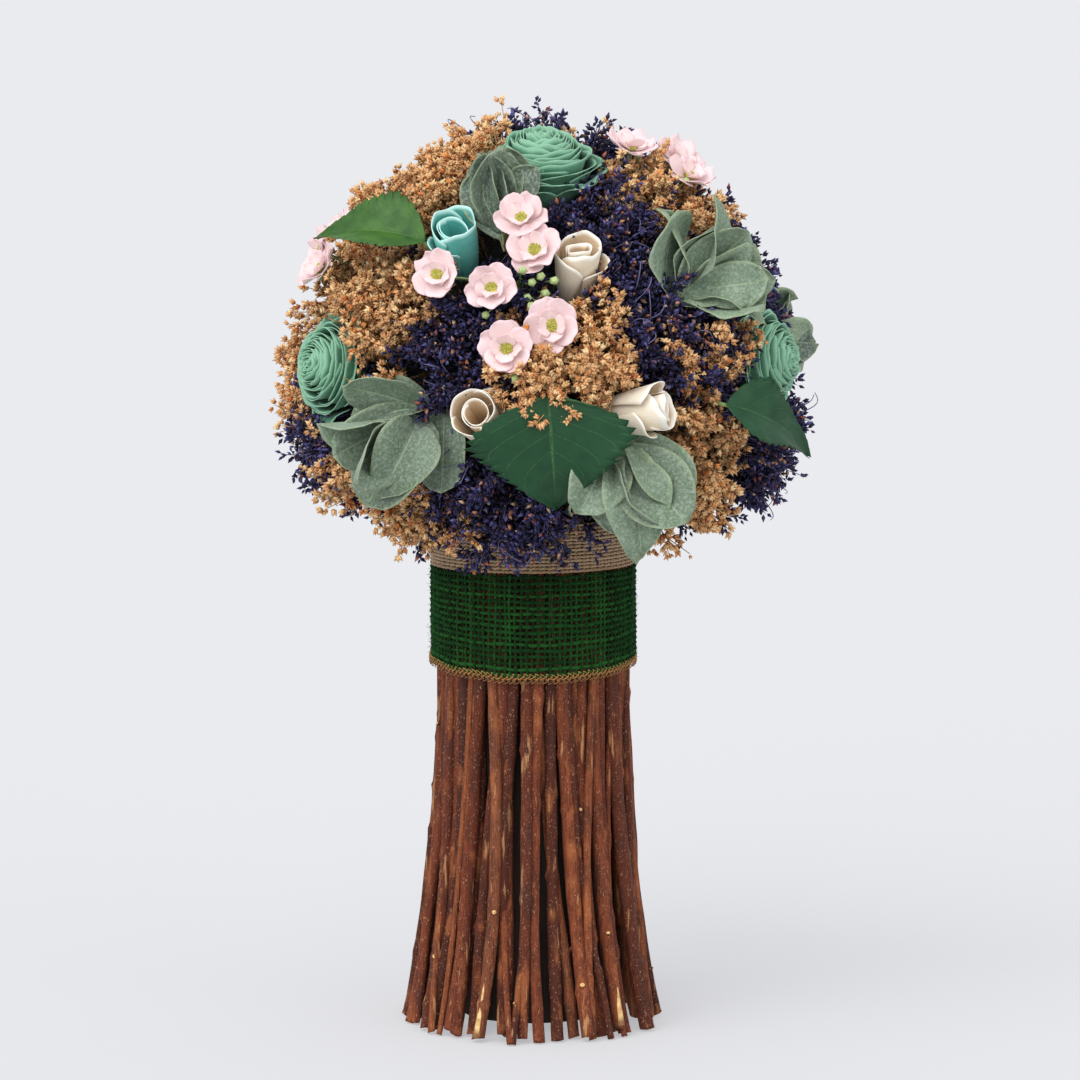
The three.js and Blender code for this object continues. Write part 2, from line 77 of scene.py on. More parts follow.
# ---- Sizes, from the frame where it has them ----

HEAD = box_middle("foam_ball")
FOAM_RADIUS = box_size("foam_ball")[0] / 2
FLOWER_DEPTH = 42 * MM
HEAD_RADIUS = FOAM_RADIUS + FLOWER_DEPTH
TWIG_AXIS = box_middle("core_post")[:2]
TWIG_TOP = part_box("twig_group_1")[1].z
TWIG_RADIUS = 3.1 * MM
OUTER_PER_GROUP = 8
INNER_PER_GROUP = 3
SLIM_PER_GROUP = 3
TWIG_GROUPS = 6
FOOT_SPREAD = 17 * MM
FLARE_POWER = 2.3

TWINE_DIAMETER = 1.8 * MM
TWINE_TURNS = 14
TWINE_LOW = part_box("twine_wrap")[0].z
TWINE_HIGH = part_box("twine_wrap")[1].z
TIE_RADIUS = box_size("twine_wrap")[0] / 2 - TWINE_DIAMETER / 2 - 0.25 * MM
NECK_RADIUS = TIE_RADIUS - TWINE_DIAMETER / 2 - 0.3 * MM

RIBBON_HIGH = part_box("burlap_ribbon")[1].z
RIBBON_WIDTH = 44 * MM
RIBBON_LOW = RIBBON_HIGH - RIBBON_WIDTH
RIBBON_DIP = 6 * MM
WEAVE_PITCH = 2.65 * MM

ROSE_RADIUS = 25.5 * MM
ROSE_DEPTH = 25 * MM
BUD_RADIUS = 12 * MM
BUD_LENGTH = 34 * MM
BLOSSOM_RADIUS = 11.5 * MM
STEM_RADIUS = 1.6 * MM

UP = np.array([0.0, 0.0, 1.0])
GOLDEN_TURN = math.radians(137.5)


# ---- Vectors ----

def unit(vectors):
    vectors = np.asarray(vectors, float)
    return vectors / np.maximum(np.linalg.norm(vectors, axis=-1, keepdims=True), 1e-12)


def direction(azimuth, elevation):
    """The direction at an azimuth and an elevation, in degrees."""
    turn, rise = math.radians(azimuth), math.radians(elevation)
    return np.array([math.sin(turn) * math.cos(rise), -math.cos(turn) * math.cos(rise), math.sin(rise)])


def reach(place, distance):
    """The point at a distance from the head's middle, at an azimuth and elevation."""
    return HEAD + direction(*place) * distance


def axes_along(axes, roll=0.0):
    """Rows of side, upper side and axis for each axis, as an array of 3 by 3 matrices."""
    axes = unit(axes)
    helper = np.where(np.abs(axes[..., 2:3]) < 0.95, UP, np.array([1.0, 0.0, 0.0]))
    side = unit(np.cross(helper, axes))
    upper = np.cross(axes, side)
    c, s = np.cos(roll), np.sin(roll)
    c, s = np.asarray(c)[..., None], np.asarray(s)[..., None]
    return np.stack([c * side + s * upper, c * upper - s * side, axes], axis=-2)


def around(radius, turn, height):
    """Points at a radius, a turn and a height round +Z."""
    return np.stack([radius * np.cos(turn), radius * np.sin(turn), height], axis=-1)


def square_to(along, over):
    """A direction, turned to stand square on a unit vector."""
    return unit(over - along * (over @ along))


def dice_for(name):
    """A repeatable random source for a piece."""
    return np.random.default_rng(sum((i + 1) * ord(letter) for i, letter in enumerate(name)))


# ---- Meshes ----

class Pile:
    """The geometry of one piece, gathered element by element.

    Each vertex has a tint that is its element's own, its place along and across the
    element, and which side of a sheet it is on. Each element has its own cell of the UV map.
    """

    def __init__(self):
        self.points = []
        self.values = []
        self.faces = {3: [], 4: []}
        self.slots = {3: [], 4: []}
        self.cells = []
        self.count = 0
        self.elements = 0

    def add(self, points, faces, tint=0.5, along=0.5, across=0.0, side=0.0, slot=0):
        size = len(points)
        values = np.empty((size, 4))
        for column, value in enumerate((tint, along, across, side)):
            values[:, column] = value
        for block in faces:
            if len(block) == 0:
                continue
            corners = block.shape[1]
            self.faces[corners].append(block + self.count)
            self.slots[corners].append(np.full(len(block), slot))
        self.points.append(points)
        self.values.append(values)
        self.cells.append(np.full(size, self.elements))
        self.count += size
        self.elements += 1

    def scatter(self, shape, places, turns, scales, tints, slot=0):
        """A copy of a shape at each place, scaled along its own axes and turned."""
        points, faces, along, across = shape
        copies, size = len(places), len(points)
        if copies == 0:
            return
        scales = np.broadcast_to(np.asarray(scales, float).reshape(-1, 1, 3), (copies, 1, 3))
        spread = np.einsum("cpi,cij->cpj", points[None] * scales, turns) + places[:, None]
        values = np.zeros((copies, size, 4))
        values[..., 0] = tints[:, None]
        values[..., 1] = along
        values[..., 2] = across
        starts = self.count + size * np.arange(copies)[:, None, None]
        for block in faces:
            corners = block.shape[1]
            self.faces[corners].append((block[None] + starts).reshape(-1, corners))
            self.slots[corners].append(np.full(len(block) * copies, slot))
        self.points.append(spread.reshape(-1, 3))
        self.values.append(values.reshape(-1, 4))
        self.cells.append(self.elements + np.repeat(np.arange(copies), size))
        self.count += size * copies
        self.elements += copies

    def build(self, name, materials):
        mesh = bpy.data.meshes.new(name)
        points = np.concatenate(self.points)
        values = np.concatenate(self.values)
        cells = np.concatenate(self.cells)
        loops, starts, slots, start = [], [], [], 0
        for corners in (3, 4):
            if not self.faces[corners]:
                continue
            faces = np.concatenate(self.faces[corners])
            loops.append(faces.ravel())
            starts.append(start + corners * np.arange(len(faces)))
            slots.append(np.concatenate(self.slots[corners]))
            start += faces.size
        loops, starts, slots = map(np.concatenate, (loops, starts, slots))
        mesh.vertices.add(len(points))
        mesh.vertices.foreach_set("co", points.astype(np.float32).ravel())
        mesh.loops.add(len(loops))
        mesh.loops.foreach_set("vertex_index", loops.astype(np.int32))
        mesh.polygons.add(len(starts))
        mesh.polygons.foreach_set("loop_start", starts.astype(np.int32))
        mesh.polygons.foreach_set("material_index", slots.astype(np.int32))
        mesh.polygons.foreach_set("use_smooth", np.ones(len(starts), bool))
        for column, label in enumerate(("tint", "along", "across", "side")):
            layer = mesh.attributes.new(label, "FLOAT", "POINT")
            layer.data.foreach_set("value", values[:, column].astype(np.float32))
        self.unwrap(mesh, values, cells, loops)
        mesh.update(calc_edges=True)
        mesh.validate()
        for material in materials:
            mesh.materials.append(material)
        piece = bpy.data.objects.new(name, mesh)
        bpy.context.scene.collection.objects.link(piece)
        return piece

    def unwrap(self, mesh, values, cells, loops):
        """Gives each element a square cell, laid out by its own along and across."""
        MARGIN = 0.12
        rows = math.ceil(math.sqrt(self.elements))
        local = np.stack([values[:, 2] / 2 + 0.5, values[:, 1]], axis=1)
        corner = np.stack([cells % rows, cells // rows], axis=1)
        spots = (corner + MARGIN + (1 - 2 * MARGIN) * np.clip(local, 0, 1)) / rows
        layer = mesh.uv_layers.new(name="OFBake")
        layer.data.foreach_set("uv", spots[loops].astype(np.float32).ravel())


def grid_faces(rows, columns, loop=False):
    """Quads between the points of a grid. A looped grid joins its last column to its first."""
    row = np.arange(rows - 1)[:, None] * columns
    column = np.arange(columns if loop else columns - 1)
    after = (column + 1) % columns
    corners = [row + column, row + after, row + columns + after, row + columns + column]
    return np.stack(corners, axis=-1).reshape(-1, 4)


def fan_faces(ring, tip):
    """Triangles from a ring of points to one tip."""
    return np.stack([ring, np.roll(ring, -1), np.full(len(ring), tip)], axis=1)


def ring_shares(sides):
    """How far each point of a ring is from its seam: -1 on it and 1 opposite."""
    return 1 - 2 * np.abs(np.arange(sides) / sides * 2 - 1)


def tube(pile, path, radii, sides, tint, slot=0, section=None, ref=None, caps=True):
    """A tube along a path. `section(turns, along)` gives its radius as a share, point by point."""
    path = np.asarray(path, float)
    steps = len(path)
    along = np.linspace(0, 1, steps)
    tangents = unit(np.gradient(path, axis=0))
    if ref is None:
        whole = unit(path[-1] - path[0])
        ref = np.eye(3)[np.argmin(np.abs(whole))]
    side = unit(np.cross(tangents, ref))
    upper = np.cross(side, tangents)
    turns = np.arange(sides) / sides * 2 * math.pi
    shares = np.ones((steps, sides)) if section is None else section(turns[None], along[:, None])
    radii = np.broadcast_to(radii, steps)[:, None] * shares
    ring = np.cos(turns)[None, :, None] * side[:, None] + np.sin(turns)[None, :, None] * upper[:, None]
    points = (path[:, None] + radii[..., None] * ring).reshape(-1, 3)
    faces = [grid_faces(steps, sides, loop=True)]
    values = [np.repeat(along, sides), np.tile(ring_shares(sides), steps)]
    if caps:
        last = steps * sides
        points = np.vstack([points, path[:1], path[-1:]])
        faces.append(fan_faces(np.arange(sides)[::-1], last))
        faces.append(fan_faces(np.arange(last - sides, last), last + 1))
        values = [np.append(values[0], [0, 1]), np.append(values[1], [0, 0])]
    pile.add(points, faces, tint, values[0], values[1], slot=slot)


def shell(pile, grid, thickness, tint):
    """A thin closed sheet on a grid of points. Rows run along it and columns across."""
    rows, columns = grid.shape[:2]
    normals = unit(np.cross(np.gradient(grid, axis=1), np.gradient(grid, axis=0)))
    half = np.broadcast_to(thickness, (rows, columns))[..., None] * normals / 2
    points = np.concatenate([(grid - half).reshape(-1, 3), (grid + half).reshape(-1, 3)])
    size = rows * columns
    index = np.arange(size).reshape(rows, columns)
    rim = np.concatenate([index[0, :-1], index[:-1, -1], index[-1, :0:-1], index[:0:-1, 0]])
    after = np.roll(rim, -1)
    sheet = grid_faces(rows, columns)
    faces = [sheet, sheet[:, ::-1] + size, np.stack([rim, rim + size, after + size, after], axis=1)]
    along = np.repeat(np.linspace(0, 1, rows), columns)
    across = np.tile(np.linspace(-1, 1, columns), rows)
    side = np.repeat([0.0, 1.0], size)
    pile.add(points, faces, tint, np.tile(along, 2), np.tile(across, 2), side)


def spindle(rings, sides):
    """A closed bud shape about +Z from a point at 0 to a point at 1, with (height, radius) rings."""
    turns = np.arange(sides) / sides * 2 * math.pi
    points = [[0, 0, 0]]
    along, across = [0.0], [0.0]
    for height, radius in rings:
        for turn in turns:
            points.append([radius * math.cos(turn), radius * math.sin(turn), height])
            along.append(height)
            across.append(1 - 2 * abs(turn / math.pi - 1))
    points.append([0, 0, 1])
    along.append(1.0)
    across.append(0.0)
    first = 1 + np.arange(sides)
    last = len(points) - 1
    walls = grid_faces(len(rings), sides, loop=True) + 1
    caps = np.concatenate([fan_faces(first[::-1], 0), fan_faces(last - sides + np.arange(sides), last)])
    return np.array(points), [caps, walls], np.array(along), np.array(across)


def joined(*shapes):
    """Several shapes as one."""
    points, faces, along, across, count = [], {3: [], 4: []}, [], [], 0
    for shape_points, shape_faces, shape_along, shape_across in shapes:
        points.append(shape_points)
        along.append(shape_along)
        across.append(shape_across)
        for block in shape_faces:
            faces[block.shape[1]].append(block + count)
        count += len(shape_points)
    blocks = [np.concatenate(blocks) for blocks in faces.values() if blocks]
    return np.concatenate(points), blocks, np.concatenate(along), np.concatenate(across)


def turned_shape(shape, axis):
    points, faces, along, across = shape
    return points @ axes_along(np.array(axis, float)), faces, along, across


# ---- Materials ----

def srgb(red, green, blue):
    """A colour given as 0 to 255 levels, as linear RGBA."""
    levels = [level / 255 for level in (red, green, blue)]
    return tuple(x / 12.92 if x <= 0.04045 else ((x + 0.055) / 1.055) ** 2.4 for x in levels) + (1.0,)


def linear(tone):
    """A grey share, three levels from 0 to 255 or linear RGBA, as linear RGBA."""
    if not isinstance(tone, tuple):
        return (tone, tone, tone, 1.0)
    return srgb(*tone) if len(tone) == 3 else tone


class Paint:
    """A procedural material being put together."""

    def __init__(self, name, **sockets):
        self.material = bpy.data.materials.new(name)
        self.material.use_nodes = True
        self.tree = self.material.node_tree
        self.shader = self.tree.nodes["Principled BSDF"]
        for label, value in sockets.items():
            self.shader.inputs[label.replace("_", " ")].default_value = value
        self.place = self.tree.nodes.new("ShaderNodeTexCoord").outputs["Object"]

    def node(self, kind, settings, inputs=None):
        node = self.tree.nodes.new("ShaderNode" + kind)
        for label, value in (settings or {}).items():
            setattr(node, label, value)
        for label, value in (inputs or {}).items():
            if isinstance(value, NodeSocket):
                self.tree.links.new(value, node.inputs[label])
            else:
                node.inputs[label].default_value = value
        return node

    def value(self, name):
        return self.node("Attribute", {"attribute_name": name}).outputs["Fac"]

    def stretched(self, stretch):
        return self.node("Mapping", None, {"Vector": self.place, "Scale": stretch}).outputs[0]

    def noise(self, per_metre, detail, stretch=(1, 1, 1)):
        spot = self.stretched(stretch)
        inputs = {"Vector": spot, "Scale": per_metre, "Detail": detail}
        return self.node("TexNoise", None, inputs).outputs["Fac"]

    def cells(self, per_metre, stretch=(1, 1, 1), feature="F1"):
        spot = self.stretched(stretch)
        inputs = {"Vector": spot, "Scale": per_metre}
        return self.node("TexVoronoi", {"feature": feature}, inputs).outputs["Distance"]

    def depth(self, near, far):
        """0 at one distance from the head's middle, 1 at a further one. The clumps' paints use it for painted
        shade deep in the head.
        """
        centre = tuple(float(x) for x in HEAD)
        away = self.node("VectorMath", {"operation": "DISTANCE"}, {0: self.place, 1: centre}).outputs["Value"]
        return self.math("DIVIDE", self.math("SUBTRACT", away, near), far - near, True)

    def math(self, operation, first, second=0.0, clamp=False):
        settings = {"operation": operation, "use_clamp": clamp}
        return self.node("Math", settings, {0: first, 1: second}).outputs[0]

    def ramp(self, factor, *stops):
        """Colours or grey levels at places from 0 to 1, joined smoothly."""
        node = self.node("ValToRGB", None, {"Fac": factor})
        elements = node.color_ramp.elements
        while len(elements) < len(stops):
            elements.new(0.5)
        for element, (spot, color) in zip(elements, stops):
            element.position = spot
            element.color = linear(color)
        return node.outputs["Color"]

    def mix(self, factor, first, second):
        """The first colour where the factor is 0 and the second where it is 1."""
        first, second = (linear(tone) if isinstance(tone, tuple) else tone for tone in (first, second))
        settings = {"data_type": "RGBA", "blend_type": "MIX"}
        return self.node("Mix", settings, {0: factor, 6: first, 7: second}).outputs[2]

    def over(self, color, factor, low, high, tone):
        """A tone over a colour. Two stops of the factor say how strongly."""
        return self.mix(self.ramp(factor, low, high), color, tone)

    def waves(self, value, rate):
        return self.math("SINE", self.math("MULTIPLY", value, rate))

    def side_veins(self, across, lean, rate):
        """0 on the veins that slant from a leaf's midrib to its edge."""
        slant = self.math("SUBTRACT", self.value("along"), self.math("MULTIPLY", across, lean))
        return self.math("ABSOLUTE", self.waves(slant, rate))

    def finish(self, color, roughness=None, height=None, depth=0.2 * MM, strength=0.6):
        links = self.tree.links
        links.new(color, self.shader.inputs["Base Color"])
        if roughness is not None:
            links.new(roughness, self.shader.inputs["Roughness"])
        if height is not None:
            settings = {"Height": height, "Distance": depth, "Strength": strength}
            bump = self.node("Bump", None, settings)
            links.new(bump.outputs["Normal"], self.shader.inputs["Normal"])
        return self.material


def bark():
    p = Paint("bark", Roughness=0.78, Specular_IOR_Level=0.25)
    skin = p.ramp(p.value("tint"), (0.0, (70, 30, 18)), (0.3, (100, 46, 27)), (0.6, (120, 58, 33)),
                  (0.85, (140, 76, 42)), (1.0, (94, 58, 44)))
    grain = p.noise(1900, 5, (1, 1, 0.05))
    skin = p.over(skin, grain, (0.4, 0.55), (0.56, 0.0), (62, 26, 14))
    blotches = p.noise(150, 5, (1, 1, 0.35))
    skin = p.over(skin, blotches, (0.36, 0.65), (0.47, 0.0), (64, 34, 26))
    skin = p.over(skin, blotches, (0.56, 0.0), (0.68, 0.5), (170, 100, 56))
    streaks = p.noise(330, 5, (1, 1, 0.12))
    skin = p.over(skin, streaks, (0.63, 0.0), (0.7, 0.7), (190, 140, 92))
    crust = p.noise(1500, 4, (1, 1, 0.8))
    skin = p.over(skin, crust, (0.62, 0.0), (0.7, 0.6), (196, 158, 124))
    spots = p.cells(430, (1, 1, 0.5))
    skin = p.over(skin, spots, (0.08, 0.5), (0.18, 0.0), (186, 138, 100))
    height = p.math("ADD", grain, p.math("MULTIPLY", p.math("ADD", streaks, crust), 0.6))
    return p.finish(skin, p.ramp(grain, (0.3, 0.9), (0.7, 0.62)), height, 0.6 * MM, 0.9)


def cut_wood():
    p = Paint("cut_wood", Roughness=0.85)
    rings = p.waves(p.value("along"), 26.0)
    color = p.ramp(rings, (0.0, (226, 190, 128)), (1.0, (204, 160, 100)))
    color = p.over(color, p.value("along"), (0.86, 0.0), (0.97, 0.9), (96, 52, 30))
    color = p.over(color, p.value("along"), (0.08, 0.8), (0.2, 0.0), (120, 76, 44))
    dirt = p.noise(500, 4)
    color = p.over(color, dirt, (0.5, 0.0), (0.7, 0.6), (122, 78, 46))
    return p.finish(color, None, dirt, 0.3 * MM)


def core_wood():
    p = Paint("core_wood", Roughness=0.95)
    grain = p.noise(700, 5, (1, 1, 0.1))
    color = p.ramp(grain, (0.3, (14, 8, 6)), (0.7, (46, 26, 18)))
    return p.finish(color, None, grain, 0.6 * MM)


def foam():
    p = Paint("foam", Roughness=1.0)
    pits = p.cells(900)
    color = p.ramp(pits, (0.05, (4, 5, 6)), (0.6, (24, 26, 24)))
    return p.finish(color, None, pits, 0.8 * MM)


def burlap():
    p = Paint("burlap", Roughness=0.95, Specular_IOR_Level=0.15)
    fibre = p.noise(2600, 4)
    patches = p.noise(90, 2)
    color = p.ramp(p.value("tint"), (0.0, (12, 44, 14)), (0.6, (19, 62, 22)), (1.0, (32, 86, 34)))
    color = p.over(color, fibre, (0.35, 0.0), (0.7, 0.6), (8, 32, 11))
    color = p.over(color, patches, (0.5, 0.0), (0.8, 0.3), (52, 108, 44))
    return p.finish(color, None, fibre, 0.25 * MM)


def thread(name, dark, middle, light):
    p = Paint(name, Roughness=0.9, Sheen_Weight=0.15)
    fibre = p.noise(2400, 4)
    color = p.ramp(p.value("tint"), (0.0, dark), (0.5, middle), (1.0, light))
    color = p.over(color, fibre, (0.35, 0.55), (0.6, 0.0), dark)
    return p.finish(color, None, fibre, 0.2 * MM)


def shaving(name, body, rim, shade, inside):
    """Thin wood or pith: streaked along the grain, paler at its cut rim."""
    p = Paint(name, Roughness=0.82, Sheen_Weight=0.1)
    grain = p.noise(900, 4)
    cloud = p.noise(110, 3)
    color = p.over(body, cloud, (0.35, 0.0), (0.7, 1.0), shade)
    color = p.over(color, p.value("tint"), (0.0, 0.35), (1.0, 0.0), shade)
    color = p.over(color, p.value("side"), (0.4, 0.75), (0.6, 0.0), inside)
    lines = p.waves(p.value("across"), 60.0)
    streaks = p.math("MULTIPLY", p.ramp(lines, (0.0, 0.0), (1.0, 0.16)), grain)
    color = p.mix(streaks, color, shade)
    color = p.over(color, p.value("along"), (0.9, 0.0), (0.985, 0.9), rim)
    height = p.math("ADD", grain, p.math("MULTIPLY", lines, 0.25))
    return p.finish(color, None, height, 0.18 * MM, 0.5)


def petal():
    p = Paint("petal", Roughness=0.8, Sheen_Weight=0.2, Subsurface_Weight=0.08)
    cloth = p.noise(1800, 3)
    color = p.ramp(p.value("along"), (0.0, (212, 182, 168)), (0.35, (236, 208, 204)),
                   (0.88, (240, 213, 212)), (1.0, (236, 198, 200)))
    edge = p.math("POWER", p.math("ABSOLUTE", p.value("across")), 16.0)
    color = p.mix(p.math("MULTIPLY", edge, 0.7), color, (232, 188, 196))
    color = p.over(color, p.value("tint"), (0.0, 0.4), (1.0, 0.0), (236, 210, 212))
    veins = p.waves(p.value("across"), 30.0)
    return p.finish(color, None, p.math("ADD", cloth, p.math("MULTIPLY", veins, 0.2)), 0.12 * MM)


def plain_growth(name, dark, light, per_metre=1500):
    """Small stalks, buds and centres: two tones with fine noise."""
    p = Paint(name, Roughness=0.8)
    grain = p.noise(per_metre, 3)
    color = p.mix(p.value("tint"), dark, light)
    color = p.over(color, grain, (0.4, 0.4), (0.65, 0.0), dark)
    return p.finish(color, None, grain, 0.15 * MM)


def green_leaf():
    p = Paint("green_leaf", Roughness=0.5, Specular_IOR_Level=0.3)
    across = p.math("ABSOLUTE", p.value("across"))
    cloud = p.noise(140, 4)
    color = p.ramp(p.value("tint"), (0.0, (16, 62, 34)), (0.5, (24, 72, 40)), (1.0, (62, 104, 36)))
    color = p.over(color, cloud, (0.35, 0.0), (0.75, 0.6), (14, 52, 30))
    side_veins = p.ramp(p.side_veins(across, 0.32, 20.0), (0.0, 1.0), (0.09, 0.0))
    midrib = p.ramp(across, (0.008, 1.0), (0.03, 0.0))
    veins = p.math("MAXIMUM", side_veins, midrib)
    dots = p.ramp(p.noise(900, 2), (0.4, 0.25), (0.6, 1.0))
    color = p.mix(p.math("MULTIPLY", p.math("MULTIPLY", veins, dots), 0.28), color, (116, 156, 88))
    color = p.over(color, p.value("side"), (0.4, 0.4), (0.6, 0.0), (70, 110, 66))
    height = p.math("SUBTRACT", p.math("MULTIPLY", cloud, 0.4), p.math("MULTIPLY", veins, 0.6))
    return p.finish(color, p.ramp(cloud, (0.3, 0.42), (0.7, 0.6)), height, 0.35 * MM)


def eucalyptus_skin():
    p = Paint("eucalyptus_skin", Roughness=0.72, Specular_IOR_Level=0.35)
    across = p.math("ABSOLUTE", p.value("across"))
    color = p.ramp(p.value("tint"), (0.0, (82, 94, 86)), (0.3, (112, 128, 110)),
                   (0.7, (134, 154, 130)), (1.0, (158, 176, 144)))
    cloud = p.noise(90, 4)
    color = p.over(color, cloud, (0.4, 0.0), (0.7, 0.55), (84, 110, 78))
    bloom = p.noise(700, 6)
    color = p.over(color, bloom, (0.44, 0.0), (0.68, 0.4), (186, 200, 186))
    net = p.cells(380, feature="DISTANCE_TO_EDGE")
    color = p.over(color, net, (0.02, 0.3), (0.1, 0.0), (70, 88, 62))
    specks = p.noise(1700, 3, (1, 1.3, 1))
    color = p.over(color, specks, (0.34, 0.55), (0.42, 0.0), (58, 74, 52))
    side_veins = p.ramp(p.side_veins(across, 0.3, 17.0), (0.0, 0.45), (0.1, 0.0))
    midrib = p.ramp(across, (0.01, 1.0), (0.05, 0.0))
    veins = p.math("MAXIMUM", side_veins, midrib)
    color = p.mix(p.math("MULTIPLY", veins, 0.5), color, (176, 194, 158))
    sides = p.ramp(across, (0.9, 0.0), (0.98, 1.0))
    end = p.ramp(p.value("along"), (0.95, 0.0), (1.0, 1.0))
    rim = p.math("MAXIMUM", sides, end)
    color = p.mix(p.math("MULTIPLY", rim, 0.3), color, (176, 188, 142))
    color = p.over(color, p.value("side"), (0.4, 0.25), (0.6, 0.0), (150, 160, 150))
    height = p.math("ADD", bloom, veins)
    return p.finish(color, None, height, 0.3 * MM)


def lavender_bud():
    p = Paint("lavender_bud", Roughness=0.8, Specular_IOR_Level=0.25)
    color = p.ramp(p.value("tint"), (0.0, (24, 22, 40)), (0.35, (40, 37, 70)), (0.7, (64, 61, 112)),
                   (0.86, (100, 98, 152)), (0.9, (92, 52, 66)), (0.95, (168, 96, 62)), (1.0, (206, 178, 140)))
    color = p.over(color, p.value("along"), (0.1, 0.55), (0.7, 0.0), (18, 14, 34))
    ridges = p.waves(p.value("across"), 9.0)
    grain = p.noise(2600, 2)
    color = p.over(color, grain, (0.55, 0.0), (0.7, 0.35), (120, 120, 170))
    # Painted shade: buds deeper in the head, nearer the foam, are darkened towards near black, as the shade
    # inside the clump
    color = p.over(color, p.depth(90 * MM, 120 * MM), (0.0, 0.9), (1.0, 0.0), (10, 8, 14))
    return p.finish(color, None, p.math("ADD", grain, ridges), 0.12 * MM)


def seed_husk():
    p = Paint("seed_husk", Roughness=0.7, Specular_IOR_Level=0.3)
    color = p.ramp(p.value("tint"), (0.0, (204, 146, 96)), (0.3, (226, 172, 118)), (0.6, (236, 190, 134)),
                   (0.85, (248, 216, 164)), (0.93, (226, 150, 82)), (1.0, (186, 104, 60)))
    color = p.over(color, p.value("along"), (0.0, 0.4), (0.3, 0.0), (176, 104, 60))
    color = p.over(color, p.value("along"), (0.8, 0.0), (1.0, 0.5), (242, 212, 162))
    # Painted shade: husks deeper in the head, nearer the foam, are darkened towards dark brown, as the shade
    # inside the clump
    color = p.over(color, p.depth(94 * MM, 121 * MM), (0.0, 0.85), (1.0, 0.0), (78, 40, 24))
    grain = p.noise(2200, 2)
    ridges = p.waves(p.value("across"), 10.0)
    return p.finish(color, None, p.math("ADD", grain, ridges), 0.15 * MM)


PAINTS = {
    "bark": bark(),
    "cut_wood": cut_wood(),
    "core_wood": core_wood(),
    "foam": foam(),
    "burlap": burlap(),
    "hem": thread("hem_thread", (104, 64, 26), (170, 116, 54), (204, 152, 82)),
    "twine": thread("jute_twine", (112, 84, 58), (170, 140, 106), (206, 182, 148)),
    "sola": shaving("sola_green", (102, 158, 128), (144, 192, 162), (82, 136, 108), (64, 112, 88)),
    "cream": shaving("shaving_cream", (240, 231, 212), (250, 247, 238), (230, 217, 192), (214, 184, 146)),
    "turquoise": shaving("shaving_turquoise", (122, 214, 202), (206, 242, 234), (98, 194, 184),
                         (72, 160, 152)),
    "petal": petal(),
    "blossom_centre": plain_growth("blossom_centre", (150, 148, 58), (200, 192, 96), 1200),
    "blossom_green": plain_growth("blossom_green", (96, 130, 62), (186, 204, 140), 900),
    "leaf": green_leaf(),
    "eucalyptus": eucalyptus_skin(),
    "eucalyptus_stalk": plain_growth("eucalyptus_stalk", (96, 92, 60), (168, 170, 122)),
    "lavender_bud": lavender_bud(),
    "lavender_stalk": plain_growth("lavender_stalk", (46, 42, 66), (122, 116, 160)),
    "seed_husk": seed_husk(),
    "seed_stalk": plain_growth("seed_stalk", (150, 106, 62), (222, 186, 132)),
}


def place(pile, name, paints, nodes, slot):
    """Makes the gathered geometry a piece that stands for CAD nodes."""
    piece = pile.build(name, [PAINTS[paint] for paint in paints])
    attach(piece, "root")
    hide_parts(*nodes)
    return piece


# ---- Twigs, core and foam ----

def neck_point(turn, radius, height):
    """A point round the twigs' middle line."""
    return around(radius, turn, height) + np.append(TWIG_AXIS, 0)


def one_twig(pile, ring, spread, turn, foot_turn, lift, dice, slim=1.0, split=False):
    """A bent twig with knots, stubs and a slanting cut end."""
    THINNEST, THICKEST = 0.76, 1.12
    STEPS, SIDES = 84, 10
    STUB_CHANCE = 0.12
    share = np.linspace(0, 1, STEPS) ** 1.05
    height = lift + (TWIG_TOP - lift) * share
    free = np.clip(1 - height / RIBBON_LOW, 0, 1)
    thick = TWIG_RADIUS * dice.uniform(THINNEST, THICKEST) * slim
    bow = np.sin(math.pi * np.clip(free, 0, 1)) * dice.normal(0, 1.5 * MM, 2)[:, None]
    kink = np.sin(free * dice.uniform(5, 11) + dice.uniform(0, 6)) * free * dice.uniform(0.2, 0.8) * MM
    radius = ring + spread * free ** FLARE_POWER + bow[0] + kink
    angle = turn + (foot_turn - turn) * free + (bow[1] + kink * dice.uniform(-1, 1)) / ring
    path = neck_point(angle, radius, height)
    knots = np.zeros(STEPS)
    for _ in range(dice.integers(2, 5)):
        middle = dice.uniform(0.03, 0.7) * TWIG_TOP
        knots += dice.uniform(0.06, 0.3) * np.exp(-((height - middle) / (2.2 * MM)) ** 2)
        if dice.random() < STUB_CHANCE:
            stub(pile, path, height, middle, thick, dice)
    widths = thick * (1 + 0.06 * np.sin(height / MM / dice.uniform(6, 14) + dice.uniform(0, 6)) + knots)
    phases = dice.uniform(0, 6, 3)

    def section(turns, along):
        oval = 0.06 * np.cos(2 * turns + phases[0] + 2 * along)
        ridges = 0.035 * np.cos(5 * turns + phases[1] + 9 * along)
        return 1 + oval + ridges + 0.02 * np.cos(3 * turns + phases[2] + 60 * along)

    tint = dice.random()
    tube(pile, path, widths, SIDES, tint, section=section, ref=np.array([1.0, 0.0, 0.0]))
    cut_end(pile, SIDES, dice)
    if split:
        out = np.array([math.cos(foot_turn), math.sin(foot_turn), 0.0])
        torn = path[1:12] + out * thick * np.linspace(0.5, 0.85, 11)[:, None]
        tube(pile, torn, thick * np.linspace(0.7, 0.14, 11), 7, 0.4, slot=1)


